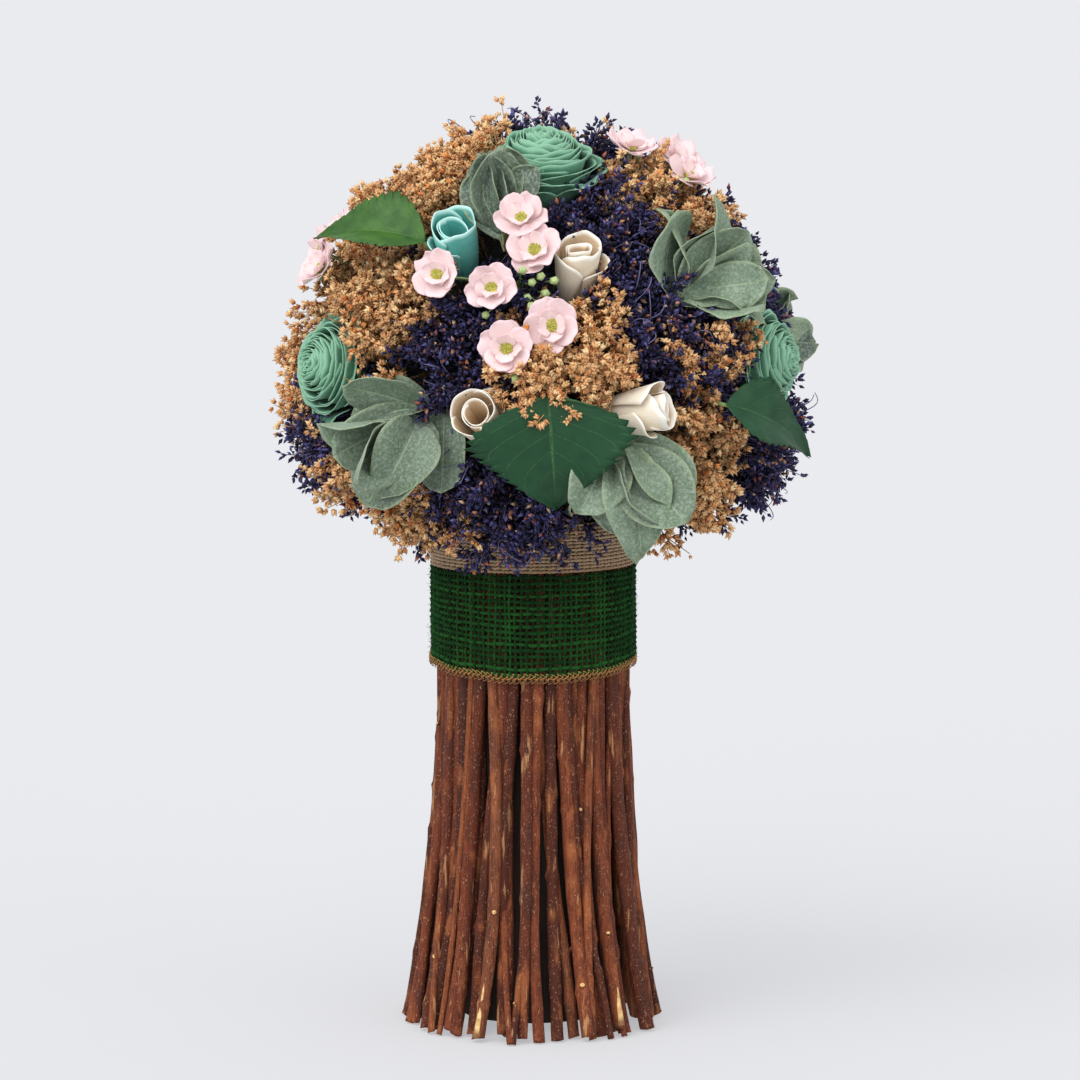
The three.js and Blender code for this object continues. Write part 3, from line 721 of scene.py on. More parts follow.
def cut_end(pile, sides, dice):
    """Slants the foot of the twig just added and closes it with pale wood."""
    points = pile.points[-1]
    foot = points[:sides]
    centre = foot.mean(0)
    slope = dice.uniform(0, 0.45)
    way = dice.uniform(0, 2 * math.pi)
    rise = ((foot[:, 0] - centre[0]) * math.cos(way) + (foot[:, 1] - centre[1]) * math.sin(way)) * slope
    ragged = dice.uniform(0, 0.35 * MM, sides)
    foot[:, 2] += rise - rise.min() + ragged - foot[:, 2].min() + max(foot[:, 2].min(), 0)
    centre = foot.mean(0)
    points[-2] = centre
    shares = np.array([1.0, 0.9, 0.55, 0.15])
    sunk = np.array([0.0, -0.15, -0.05, 0.1]) * MM
    rings = centre + (foot[None] - centre) * shares[:, None, None] - sunk[:, None, None] * UP
    rings[:, :, 2] = np.maximum(rings[:, :, 2] - 0.05 * MM, 0)
    cap = np.concatenate([rings.reshape(-1, 3), rings[-1].mean(0)[None]])
    count = len(shares)
    last = count * sides
    inmost = np.arange(last - sides, last)
    faces = [grid_faces(count, sides, loop=True)[:, ::-1], fan_faces(inmost[::-1], last)]
    along = np.append(np.repeat(shares, sides), 0.0)
    across = np.append(np.tile(ring_shares(sides), count), 0.0)
    pile.add(cap, faces, dice.random(), along, across, slot=1)


def stub(pile, path, height, middle, thick, dice):
    """The short cut-off root of a side branch, with a pale end."""
    SIDES = 7
    base = path[np.argmin(np.abs(height - middle))]
    out = unit(np.array([base[0] - TWIG_AXIS[0], base[1] - TWIG_AXIS[1], 0.0]))
    side = np.cross(UP, out)
    way = unit(out * dice.uniform(0.2, 1) + side * dice.uniform(-1, 1) + UP * dice.uniform(0.3, 1.1))
    length = thick * dice.uniform(1.25, 1.9)
    line = base + way * np.linspace(0, length, 4)[:, None]
    tube(pile, line, thick * np.array([0.62, 0.46, 0.4, 0.34]), SIDES, dice.random())
    rim = pile.points[-1][-SIDES - 2:-2]
    cap = np.vstack([rim, rim.mean(0)]) + way * 0.05 * MM
    along = np.append(np.full(SIDES, 0.8), 0)
    pile.add(cap, [fan_faces(np.arange(SIDES), SIDES)], 0.5, along, slot=1)


def twigs():
    """Six bundles of twigs: an outer ring, an inner ring and some slim ones that cross over."""
    SPLIT_CHANCE = 0.2
    outer_count = TWIG_GROUPS * OUTER_PER_GROUP
    neck_ring = NECK_RADIUS - TWIG_RADIUS
    for group in range(TWIG_GROUPS):
        name = f"twig_bundle_{group + 1}"
        dice = dice_for(name)
        pile = Pile()
        middle = (group + 0.5) / TWIG_GROUPS * 2 * math.pi
        for k in range(OUTER_PER_GROUP):
            step = k - (OUTER_PER_GROUP - 1) / 2
            turn = middle + step * 2 * math.pi / outer_count
            stray = dice.normal(0, 0.6) * 2 * math.pi / outer_count
            lift = dice.choice([0, 0, 0, 0, 2.2, 3.6]) * MM
            spread = FOOT_SPREAD + dice.uniform(-4.4, 2.4) * MM
            split = dice.random() < SPLIT_CHANCE
            ring = neck_ring - dice.uniform(0, 3.4) * MM
            one_twig(pile, ring, spread, turn, turn + stray, lift, dice, split=split)
        for k in range(INNER_PER_GROUP):
            step = k - (INNER_PER_GROUP - 1) / 2
            turn = middle + step * 2 * math.pi / (INNER_PER_GROUP * TWIG_GROUPS)
            stray = dice.normal(0, 1.2) * 2 * math.pi / outer_count
            lift = dice.choice([0, 1.5]) * MM
            one_twig(pile, neck_ring - 4.6 * MM, 12 * MM, turn, turn + stray, lift, dice)
        for k in range(SLIM_PER_GROUP):
            step = k - (SLIM_PER_GROUP - 1) / 2
            turn = middle + step * 2 * math.pi / (SLIM_PER_GROUP * TWIG_GROUPS)
            stray = dice.choice([-1, 1]) * dice.uniform(0.7, 2.4) * 2 * math.pi / outer_count
            spread = FOOT_SPREAD + dice.uniform(-3, 1.5) * MM
            slim = dice.uniform(0.5, 0.72)
            one_twig(pile, neck_ring + 0.4 * MM, spread, turn, turn + stray, 0.0, dice, slim=slim)
        place(pile, name, ["bark", "cut_wood"], [f"twig_group_{group + 1}"], "twig_bark")


def foam_ball():
    """The pitted ball inside the head, closed at its poles."""
    ROWS, COLUMNS, POLE = 70, 120, 0.975
    dice = dice_for("foam")
    rise = np.linspace(-1, 1, ROWS)[:, None] * (math.pi / 2 - 0.02)
    turn = np.arange(COLUMNS)[None] / COLUMNS * 2 * math.pi
    radius = FOAM_RADIUS - 1.5 * MM - dice.uniform(0, 1.6 * MM, (ROWS, COLUMNS))
    flat = radius * np.cos(rise)
    points = around(flat, turn, radius * np.sin(rise)).reshape(-1, 3) + HEAD
    size = ROWS * COLUMNS
    points = np.vstack([points, HEAD - UP * FOAM_RADIUS * POLE, HEAD + UP * FOAM_RADIUS * POLE])
    ring = np.arange(COLUMNS)
    ends = [fan_faces(ring[::-1], size), fan_faces(size - COLUMNS + ring, size + 1)]
    faces = [grid_faces(ROWS, COLUMNS, loop=True)] + ends
    along = np.append(np.repeat(np.linspace(0, 1, ROWS), COLUMNS), [0, 1])
    across = np.append(np.tile(ring_shares(COLUMNS), ROWS), [0, 0])
    pile = Pile()
    pile.add(points, faces, 0.5, along, across)
    place(pile, "foam_head", ["foam"], ["foam_ball"], "floral_foam")


# ---- Tie ----

def dipped(points):
    """Lowers points near the ribbon's lower edge, most at the front."""
    flat = points[..., :2] - TWIG_AXIS
    front = (1 - flat[..., 1] / np.linalg.norm(flat, axis=-1)) / 2
    low = np.clip((RIBBON_HIGH - points[..., 2]) / RIBBON_WIDTH, 0, 1)
    points[..., 2] -= RIBBON_DIP * front ** 2 * low
    return points


def ribbon_loose(turn, height):
    """How far the ribbon bulges over the uneven twigs."""
    return (0.5 * np.sin(7 * turn + 1) + 0.35 * np.sin(13 * turn + height / MM / 9)) * 0.5 * MM


def burlap_weave():
    """The ribbon's threads, over and under each other. Gives the piece and the ribbon's length."""
    WEFT, WARP, WAVE = 0.84 * MM, 0.62 * MM, 0.46 * MM
    SIDES = 5
    LOWEST, HEIGHT = RIBBON_LOW + 1.5 * MM, RIBBON_WIDTH - 0.4 * MM
    dice = dice_for("burlap")
    middle = NECK_RADIUS + 1.2 * MM
    warps = round(2 * math.pi * middle / WEAVE_PITCH / 2) * 2
    wefts = round(RIBBON_WIDTH / WEAVE_PITCH)
    pile = Pile()
    for k in range(wefts):
        steps = 3 * warps + 1
        turn = np.linspace(0, 2 * math.pi, steps)
        height = LOWEST + HEIGHT * (k + 0.5) / wefts
        height = height + 0.22 * MM * np.sin(turn * 9 + k) + 0.12 * MM * np.sin(turn * 31 + 2 * k)
        wave = WAVE * np.cos(turn * warps / 2 + math.pi * k)
        radius = middle + wave + ribbon_loose(turn, height)
        width = WEFT * dice.uniform(0.85, 1.12) * (1 + 0.12 * np.sin(turn * 17 + k * 3))
        tube(pile, dipped(neck_point(turn, radius, height)), width, SIDES, dice.random(), ref=UP, caps=False)
    for k in range(warps):
        steps = 3 * wefts + 3
        height = np.linspace(RIBBON_LOW + 0.6 * MM, RIBBON_HIGH + dice.uniform(0.5, 1.7) * MM, steps)
        turn = (k + dice.normal(0, 0.09)) / warps * 2 * math.pi + 0.006 * np.sin(height / MM / 6 + k)
        rank = (height - LOWEST) / HEIGHT * wefts - 0.5
        wave = -WAVE * np.cos(math.pi * (rank + k))
        radius = middle + wave + ribbon_loose(turn, height)
        out = np.array([math.cos(turn[0]), math.sin(turn[0]), 0.0])
        path = dipped(neck_point(turn, radius, height))
        tube(pile, path, WARP * dice.uniform(0.8, 1.15), SIDES, dice.random(), ref=out)
    for _ in range(3):
        fuzz(pile, 500, middle + 0.7 * MM, RIBBON_LOW, RIBBON_HIGH, 2.2 * MM, dice)
    ribbon = place(pile, "burlap_weave", ["burlap"], ["burlap_ribbon"], "burlap")
    return ribbon, 2 * math.pi * middle


def fuzz(pile, count, radius, low, high, length, dice):
    """Short stray fibres on a band round the neck."""
    turn = dice.uniform(0, 2 * math.pi, count)
    height = dice.uniform(low, high, count)
    roots = dipped(neck_point(turn, np.full(count, radius), height))
    out = np.stack([np.cos(turn), np.sin(turn), np.zeros(count)], axis=-1)
    ways = unit(out * dice.uniform(0.1, 0.8, (count, 1)) + dice.normal(0, 0.7, (count, 3)))
    lengths = length * dice.uniform(0.4, 1.2, count)
    scales = np.stack([np.full(count, 0.07 * MM), np.full(count, 0.07 * MM), lengths], axis=-1)
    pile.scatter(STICK, roots, axes_along(ways), scales, dice.random(count))


def hem_stitches():
    """Looped chain stitches of four strands along the ribbon's lower edge."""
    STITCH, THREAD = 5.2 * MM, 0.2 * MM
    dice = dice_for("hem")
    pile = Pile()
    middle = NECK_RADIUS + 1.4 * MM
    stitches = round(2 * math.pi * middle / STITCH)
    steps = stitches * 16 + 1
    turn = np.linspace(0, 2 * math.pi, steps)
    for strand, (phase, rise) in enumerate(((0.0, 0.4), (3.14, 0.6), (1.2, 2.1), (4.34, 2.3))):
        swing = turn * stitches + phase
        height = RIBBON_LOW + rise * MM + 1.25 * MM * np.sin(swing) + 0.25 * MM * np.sin(turn * 11)
        radius = middle + 0.3 * MM * np.cos(swing) + 0.85 * MM
        ahead = turn + 0.014 * np.sin(2 * swing + 1)
        path = dipped(neck_point(ahead, radius, height))
        tube(pile, path, THREAD, 5, 0.15 + 0.25 * strand, ref=UP, caps=False)
    fuzz(pile, 160, middle + 0.6 * MM, RIBBON_LOW - 0.2 * MM, RIBBON_LOW + 2 * MM, 2.4 * MM, dice)
    return place(pile, "hem_stitches", ["hem"], ["ribbon_hem"], "hem_thread")


def twine_winding():
    """One twisted twine of two strands, wound round the neck turn on turn."""
    dice = dice_for("twine")
    pile = Pile()
    STEPS, TWISTS = 210, 70
    OFF, STRAND = 0.36 * MM, 0.6 * MM
    pitch = (TWINE_HIGH - TWINE_LOW) / TWINE_TURNS
    for lap in range(TWINE_TURNS):
        turn = np.linspace(0, 2 * math.pi, STEPS + 1)
        laps = lap + turn / (2 * math.pi)
        height = TWINE_LOW + pitch * laps * (TWINE_TURNS - 1) / TWINE_TURNS + pitch / 2
        height = height + 0.1 * MM * np.sin(turn * 5 + lap) * math.sin(math.pi * (lap + 0.5) / TWINE_TURNS)
        for strand in (0, math.pi):
            twist = turn * TWISTS + strand
            path = neck_point(turn, TIE_RADIUS + OFF * np.cos(twist), height + OFF * np.sin(twist))
            width = STRAND * (1 + 0.1 * np.sin(turn * 23 + lap * 5 + strand))
            tube(pile, path, width, 6, dice.uniform(0.25, 0.85), ref=UP, caps=False)
    fuzz(pile, 260, TIE_RADIUS + 0.8 * MM, TWINE_LOW, TWINE_HIGH, 2.2 * MM, dice)
    place(pile, "twine_winding", ["twine"], ["twine_wrap"], "jute_twine")


# ---- Flowers ----

STICK = spindle([(0.02, 1.0), (0.9, 0.8)], 3)
PLUMP = spindle([(0.3, 0.46), (0.75, 0.4)], 5)
rooms = []  # base, axis and radius of the room in front of each flower or leaf, and whether a flower's


def keep_clear(base, axis, radius, flower=False):
    """Keeps a round room clear, from a point outwards along an axis."""
    rooms.append((base, unit(axis), radius, flower))


def clear_of(points, flowers_only=False):
    """Which points don't stand in front of or inside a flower or leaf."""
    free = np.ones(len(points), bool)
    for base, axis, radius, flower in rooms:
        if flowers_only and not flower:
            continue
        away = points - base
        up = away @ axis
        beside = np.linalg.norm(away - up[:, None] * axis, axis=1)
        free &= ~((up > 0) & (beside < radius))
    return free


def stem(pile, place_at, end, slot, dice):
    """The stem from inside the foam to a point."""
    start = reach(place_at, FOAM_RADIUS - 6 * MM)
    line = start + (end - start) * np.linspace(0, 1, 6)[:, None]
    line[1:-1] += dice.normal(0, 0.3 * MM, (4, 3))
    tube(pile, line, STEM_RADIUS, 7, dice.random(), slot)


def cup_petal(turn, half_arc, base_radius, mouth_radius, low, high, curl, tuck, dice,
              rows, columns, corner, ripple):
    """A grid of points for one petal that stands round +Z."""
    v = np.linspace(0, 1, rows)[:, None]
    u = np.linspace(-1, 1, columns)[None]
    waves = dice.uniform(0, 6, 3)
    frill = np.sin(5 * u + waves[0])
    edge = 1 - corner * np.abs(u) ** 3 + ripple * frill + 0.6 * ripple * np.sin(11 * u + waves[1])
    lift = v * edge
    lip = np.clip((lift - 0.62) / 0.38, 0, 1.2) ** 2
    radius = base_radius + (mouth_radius - base_radius) * np.sin(np.clip(lift, 0, 1) * math.pi / 2) ** 0.9
    radius = radius + curl * lip + tuck * u + 0.05 * mouth_radius * np.sin(4 * u + waves[2]) * v ** 2
    height = low + (high - low) * lift - 0.55 * curl * lip ** 1.5
    angle = turn + half_arc * u * (0.75 + 0.25 * v)
    return around(radius, angle, height)


def sola_rose(name, node, at, face, out, size):
    """A dome of thin petals. The outermost are looser, with frilled edges."""
    PETALS, TIGHT = 52, 0.76
    dice = dice_for(name)
    pile = Pile()
    axis = direction(*face)
    base = reach(at, HEAD_RADIUS - ROSE_DEPTH + out * MM)
    turns = axes_along(axis, dice.uniform(0, 6))
    R, D = ROSE_RADIUS * size, ROSE_DEPTH * size
    for k in range(PETALS):
        q = k / (PETALS - 1)
        loose = max(0.0, (q - TIGHT) / (1 - TIGHT))
        grid = cup_petal(
            turn=k * GOLDEN_TURN + dice.normal(0, 0.15),
            half_arc=1.7 - 0.85 * q,
            base_radius=R * (0.05 + 0.6 * q),
            mouth_radius=R * (0.1 + 0.84 * q) * dice.uniform(0.96, 1.03),
            low=-0.05 * D * q,
            high=D * (1.05 - 0.62 * q ** 1.9) * dice.uniform(0.97, 1.03),
            curl=R * (0.01 + 0.1 * q ** 2 + 0.05 * loose) * dice.uniform(0.4, 1.6),
            tuck=R * dice.uniform(-0.02, 0.05),
            dice=dice,
            rows=8,
            columns=17,
            corner=0.16 + 0.3 * loose,
            ripple=0.03 + 0.025 * loose,
        )
        shell(pile, grid @ turns + base, 0.28 * MM, dice.random())
    heart = rolled(2.6, (0.02 * R, 0.15 * R), 0.55 * D, D, 0.6 * MM, dice)
    shell(pile, heart @ turns + base, 0.4 * MM, 0.8)
    stem(pile, at, base + axis * 2 * MM, 1, dice)
    keep_clear(base + axis * 0.35 * D, axis, 0.97 * R, True)
    place(pile, name, ["sola", "seed_stalk"], [node], "sola_green")


def rolled(laps, radii, low, high, wave, dice, rows=8, narrow=1.0, flare=0.0):
    """A grid for a strip rolled into a spiral about +Z. `narrow` is its foot's radius as a share."""
    columns = int(26 * laps)
    v = np.linspace(0, 1, rows)[:, None]
    t = np.linspace(0, 1, columns)[None]
    mouth = radii[0] + (radii[1] - radii[0]) * t
    radius = mouth * (narrow + (1 - narrow) * v ** 0.7) + flare * v ** 8 * t
    phase = dice.uniform(0, 6, 2)
    top = high + wave * (np.sin(t * laps * 7 + phase[0]) + 0.5 * np.sin(t * laps * 17 + phase[1]))
    height = low + (top - low) * v
    turn = t * laps * 2 * math.pi
    return around(radius, turn, height)


def wood_rosebud(name, node, paint, at, face, out, core):
    """A roll of shaving inside four wrapped petals. `core` is the roll's radius and height as shares."""
    dice = dice_for(name)
    pile = Pile()
    axis = direction(*face)
    base = reach(at, HEAD_RADIUS - BUD_RADIUS + out * MM) - axis * BUD_LENGTH / 2
    turns = axes_along(axis, dice.uniform(0, 6))
    R, L = BUD_RADIUS, BUD_LENGTH
    wide, high = core
    roll = rolled(1.45, ((wide - 0.1) * R, wide * R), 0.08 * L, high * L, 1.1 * MM, dice, 12, 0.6, 0.5 * MM)
    roll = spun(roll * [1.0, 0.92, 1.0], dice.uniform(0, 6))
    roll[..., 2] += roll[..., 0] * 0.22 * roll[..., 2] / L
    shell(pile, roll @ turns + base, 0.34 * MM, 0.9)
    for k in range(4):
        grid = cup_petal(
            turn=k * 2.3 + dice.normal(0, 0.25),
            half_arc=1.65 - 0.2 * k,
            base_radius=0.46 * R,
            mouth_radius=R * (0.8 + 0.06 * k),
            low=0.0,
            high=L * (1.0 - 0.03 * k - 0.12 * (k == 3)),
            curl=0.07 * R * (k - 0.6),
            tuck=0.07 * R,
            dice=dice,
            rows=13,
            columns=21,
            corner=0.2,
            ripple=0.018,
        )
        shell(pile, grid @ turns + base, 0.34 * MM, dice.random())
    stem(pile, at, base + axis * 3 * MM, 1, dice)
    keep_clear(base + axis * 0.1 * L, axis, 1.02 * R, True)
    body = base + axis * 0.55 * L
    keep_clear(body, unit(body - HEAD), 0.85 * R)
    place(pile, name, [paint, "seed_stalk"], [node], f"shaving_{paint}")


def round_petal(length, width, cup, rise, dice):
    """A grid for a cupped round petal that grows from the origin along +Y and rises to +Z."""
    v = np.linspace(0, 1, 9)[:, None]
    u = np.linspace(-1, 1, 9)[None]
    phase = dice.uniform(0, 6)
    far = np.clip((v - 0.45) / 0.55, 0, 1)
    claw = 0.22 + 0.78 * np.sin(np.clip(v * 1.7, 0, 1) * math.pi / 2)
    half = width / 2 * claw * np.sqrt(1 - 0.72 * far ** 2.5)
    run = length * v * (1 - 0.05 * u ** 2 * v + 0.02 * np.cos(4 * u + phase))
    x = half * u
    z = cup * (np.abs(u) ** 2 * 0.8 * v + 0.9 * v ** 2.2) + 0.07 * length * np.sin(3 * u + phase) * v ** 2
    y, z = run * math.cos(rise) - z * math.sin(rise), run * math.sin(rise) + z * math.cos(rise)
    return np.stack([x * np.ones_like(y), y, z * np.ones_like(x)], axis=-1)


def spun(grid, turn):
    """A grid turned about +Z."""
    c, s = math.cos(turn), math.sin(turn)
    return grid @ np.array([[c, s, 0], [-s, c, 0], [0, 0, 1]])


def blossom(pile, spot, axis, dice):
    """Five outer and four inner petals round a centre of grains, on a calyx."""
    GRAINS = 30
    turns = axes_along(axis, dice.uniform(0, 6))
    R = BLOSSOM_RADIUS * dice.uniform(0.92, 1.05)
    for ring, (count, size, rise) in enumerate(((5, 1.12, 0.12), (4, 0.72, 0.45))):
        for k in range(count):
            width = R * 1.12 * size * dice.uniform(0.9, 1.08)
            grid = round_petal(R * size, width, 0.2 * R * size, rise + dice.normal(0, 0.14), dice)
            grid[..., 2] += ring * 0.9 * MM + 0.3 * MM * (k % 2)
            turned = spun(grid, (k + 0.5 * ring) / count * 2 * math.pi + dice.normal(0, 0.06))
            shell(pile, turned @ turns + spot, 0.3 * MM, dice.random())
    k = np.arange(GRAINS)
    radius, turn = 0.2 * R * np.sqrt(k / GRAINS), k * GOLDEN_TURN
    local = around(radius, turn, np.full(GRAINS, 0.9 * MM)) * [1.15, 1.15, 1]
    ways = unit(local * [0.5, 0.5, 0] / R + [0, 0, 1])
    grain = [1.7 * MM, 1.7 * MM, 2.6 * MM]
    pile.scatter(PLUMP, local @ turns + spot, axes_along(ways @ turns), grain, dice.random(GRAINS), slot=1)
    calyx = np.array([[0, 0, -2.2], [0, 0, -1.2], [0, 0, 0.2], [0, 0, 1.2]]) * MM
    tube(pile, calyx @ turns + spot, np.array([0.7, 1.6, 2.4, 1.2]) * MM, 8, 0.3, slot=2)
    keep_clear(spot - axis * 2 * MM, axis, 0.86 * R, True)


def bent_line(start, end, sag, steps=7):
    """Points from one place to another that swing out by the sag halfway."""
    share = np.linspace(0, 1, steps)[:, None]
    return start + (end - start) * share + sag * np.sin(share * math.pi)


def green_bud(pile, fork, tip, lean, stalk, sides, size, tint):
    """A round bud at the tip of a thin stalk, with the stalk's and the bud's sizes in mm."""
    tube(pile, bent_line(fork, tip, lean), stalk * MM, sides, 0.5, slot=2)
    turns = axes_along((tip - fork)[None])
    pile.scatter(PLUMP, tip[None], turns, np.array(size) * MM, np.array([tint]), slot=2)


def blossom_spray(name, node, at, blossoms, buds):
    """Blossoms and green buds on thin stalks from one fork."""
    dice = dice_for(name)
    pile = Pile()
    fork = reach(at, FOAM_RADIUS + 9 * MM)
    stem(pile, at, fork, 2, dice)
    for azimuth, elevation in blossoms:
        aim = direction(azimuth, elevation)
        axis = unit(aim + dice.normal(0, 0.12, 3) + direction(azimuth * 0.6, elevation) * 0.4)
        spot = HEAD + aim * (HEAD_RADIUS + 1 * MM)
        tube(pile, bent_line(fork, spot - axis * 2 * MM, aim * 3 * MM), 0.6 * MM, 5, 0.4, slot=2)
        blossom(pile, spot, axis, dice)
        tip = fork + (spot - fork) * dice.uniform(0.75, 1.02) + dice.normal(0, 6 * MM, 3)
        tip = HEAD + unit(tip - HEAD) * (HEAD_RADIUS - dice.uniform(-1, 4) * MM)
        green_bud(pile, fork, tip, aim * 2 * MM, 0.35, 4, (4.4, 4.4, 3.4), 0.9)
    for bud in buds:
        tip = reach(bud, HEAD_RADIUS + dice.uniform(-4, 3) * MM)
        green_bud(pile, fork, tip, direction(*bud) * 2 * MM, 0.4, 5, (4.6, 4.6, 5.4), 0.95)
    place(pile, name, ["petal", "blossom_centre", "blossom_green"], [node], "petal_pink")


# ---- Leaves ----

def blade(length, width, dice, widest, fold, bow, curl=0.0, tip=0.15, wave=0.025, teeth=0,
          rows=18, columns=13):
    """A grid for a leaf that grows from the origin along +Y with its upper face to +Z."""
    v = np.linspace(0, 1, rows)[:, None]
    u = np.linspace(-1, 1, columns)[None]
    rise = np.sin(math.pi * v ** (math.log(0.5) / math.log(widest)))
    half = width / 2 * (0.06 + 0.94 * np.clip(rise, 0, 1) ** (0.6 + tip))
    side = np.abs(u) ** 6
    if teeth:
        far = np.clip((v - widest) / (1 - widest), 0, 1)
        half = width / 2 * np.sin(np.clip(v / widest, 0, 1) * math.pi / 2) ** 0.5 * (1 - far ** 1.15)
        saw = (v * teeth) % 1.0
        half = half * (1 + 0.07 * side * (0.5 - saw) * 2)
    phase = dice.uniform(0, 6, 3)
    ripple = wave * width * np.sin(9 * v + phase[0] + 2 * np.sign(u)) * u ** 2
    x = half * u
    y = length * v + (0.04 * length * side if teeth else 0.0)
    z = np.abs(x) * fold - bow * length * (2 * v - 0.6) ** 2 + ripple + curl * width * u ** 3 * v
    z = z + bow * length * 0.36 + 0.3 * MM * np.sin(24 * v - 6 * np.abs(u)) * np.abs(u)
    return np.stack([x * np.ones_like(y), y * np.ones_like(x), z], axis=-1)


def laid(grid, root, along, over):
    """Puts a leaf's root at a point, with its length and its upper face in those directions."""
    along = unit(along)
    over = square_to(along, over)
    return grid @ np.array([np.cross(along, over), along, over]) + root


def rolled_over(along, over, roll):
    """The upper face's direction after a leaf rolls about its length."""
    along = unit(along)
    over = square_to(along, over)
    return over * math.cos(roll) + np.cross(along, over) * math.sin(roll)


def broad_leaf(name, node, at, tip, tip_reach, length, width, out, face, tint, widest, fold):
    """A serrated leaf from one place on the head towards another, with its face in a direction."""
    BOW = 0.12
    dice = dice_for(name)
    pile = Pile()
    root = reach(at, HEAD_RADIUS + out * MM)
    along = unit(reach(tip, tip_reach * MM) - root)
    over = square_to(along, direction(*face))
    grid = blade(length * MM, width * MM, dice, widest, fold, BOW, teeth=15, rows=91, columns=21)
    shell(pile, laid(grid, root, along, over), 0.35 * MM, tint)
    beside = np.cross(along, over)
    for ahead, aside in ((0.28, 0.36), (0.38, 0.24), (0.45, 0), (0.6, 0.14), (0.78, 0)):
        for side in (-aside, aside):
            spot = root + (along * ahead * length + beside * side * width) * MM
            keep_clear(spot - over * 3 * MM, over, 0.23 * length * MM)
    stalk = bent_line(reach(at, FOAM_RADIUS), root + along * 2 * MM, -along * 2 * MM)
    tube(pile, stalk, 0.9 * MM, 6, 0.4, slot=1)
    place(pile, name, ["leaf", "blossom_green"], [node], "leaf_green")


def eucalyptus_sprig(name, node, at, towards, count, spread, size, out, face, tones, folds, free):
    """Round leaves that fan out from the end of a stem, towards a place on the head.

    `free` is the share of a leaf that has to be clear of flowers, which it turns aside for.
    """
    dice = dice_for(name)
    pile = Pile()
    root = reach(at, FOAM_RADIUS + 16 * MM)
    stem(pile, at, root, 1, dice)
    heart = reach(at, HEAD_RADIUS - 14 * MM + out * MM)
    middle = reach(towards, HEAD_RADIUS + out * MM)
    ahead = unit(middle - heart)
    outward = unit(heart - HEAD)
    across = np.cross(ahead, outward)
    tube(pile, bent_line(root, heart + ahead * 14 * MM, outward * 3 * MM), 1.1 * MM, 6, 0.4, slot=1)
    for k in range(count):
        share = (k + 0.5) / count
        swing = spread * (2 * ((k * 0.618) % 1.0) - 1) + dice.normal(0, 0.1)
        lift = math.radians(10 + 34 * share) + dice.normal(0, 0.1)
        foot = heart + ahead * (share * 16 - 8) * MM + outward * dice.uniform(-4, 3) * MM
        roll = dice.normal(0, 0.5) + face
        length = 42 * MM * size * dice.uniform(0.78, 1.1)
        width = length * dice.uniform(0.58, 0.78)
        grid = blade(length, width, dice, dice.uniform(0.48, 0.62), dice.choice(folds),
                     dice.uniform(-0.2, 0.24), dice.uniform(-0.22, 0.22), dice.uniform(-0.2, 0.1), 0.055)
        tone = dice.uniform(*tones)
        for nudge in (0, 0.4, -0.4, 0.8, -0.8, 1.2, -1.2):
            way = unit(ahead * math.cos(swing + nudge) + across * math.sin(swing + nudge))
            way = unit(way * math.cos(lift) + outward * math.sin(lift))
            over = rolled_over(way, outward, roll)
            leaf = laid(grid, foot + way * 3 * MM, way, over)
            if clear_of(leaf.reshape(-1, 3), flowers_only=True).mean() > free:
                break
        shell(pile, leaf, 0.4 * MM, tone)
        keep_clear(foot + way * (3 * MM + 0.55 * length), over, 0.3 * width)
        stalk = bent_line(foot - ahead * 3 * MM, foot + way * 5 * MM, -outward * MM, 4)
        tube(pile, stalk, 0.6 * MM, 5, 0.5, slot=1)
    place(pile, name, ["eucalyptus", "eucalyptus_stalk"], [node], "eucalyptus_leaf")


# ---- Clumps of dry sprigs ----

LAVENDER = {
    "sprigs": 34, "twiglets": 6, "buds": 13, "bud": spindle([(0.45, 0.54)], 3),
    "size": np.array([2.0, 2.0, 3.9]) * MM, "thickness": 2.9 * MM, "branching": 0.6, "length": 13 * MM,
    "deepest": FOAM_RADIUS + 21 * MM, "paints": ["lavender_bud", "lavender_stalk"], "slot": "lavender_dry",
    "strands": 9,
}
HUSK = spindle([(0.4, 0.38)], 3)
OPEN_HUSK = joined(*[turned_shape(HUSK, axis) for axis in ([0.6, 0.1, 1], [-0.5, 0.4, 1], [0.0, -0.6, 1])])
SEEDS = {
    "sprigs": 26, "twiglets": 6, "buds": 11, "bud": OPEN_HUSK,
    "size": np.array([2.4, 2.4, 3.8]) * MM, "thickness": 3.2 * MM, "branching": 0.7, "length": 13 * MM,
    "deepest": FOAM_RADIUS + 23 * MM, "paints": ["seed_husk", "seed_stalk"], "slot": "seed_tan",
    "strands": 0,
}

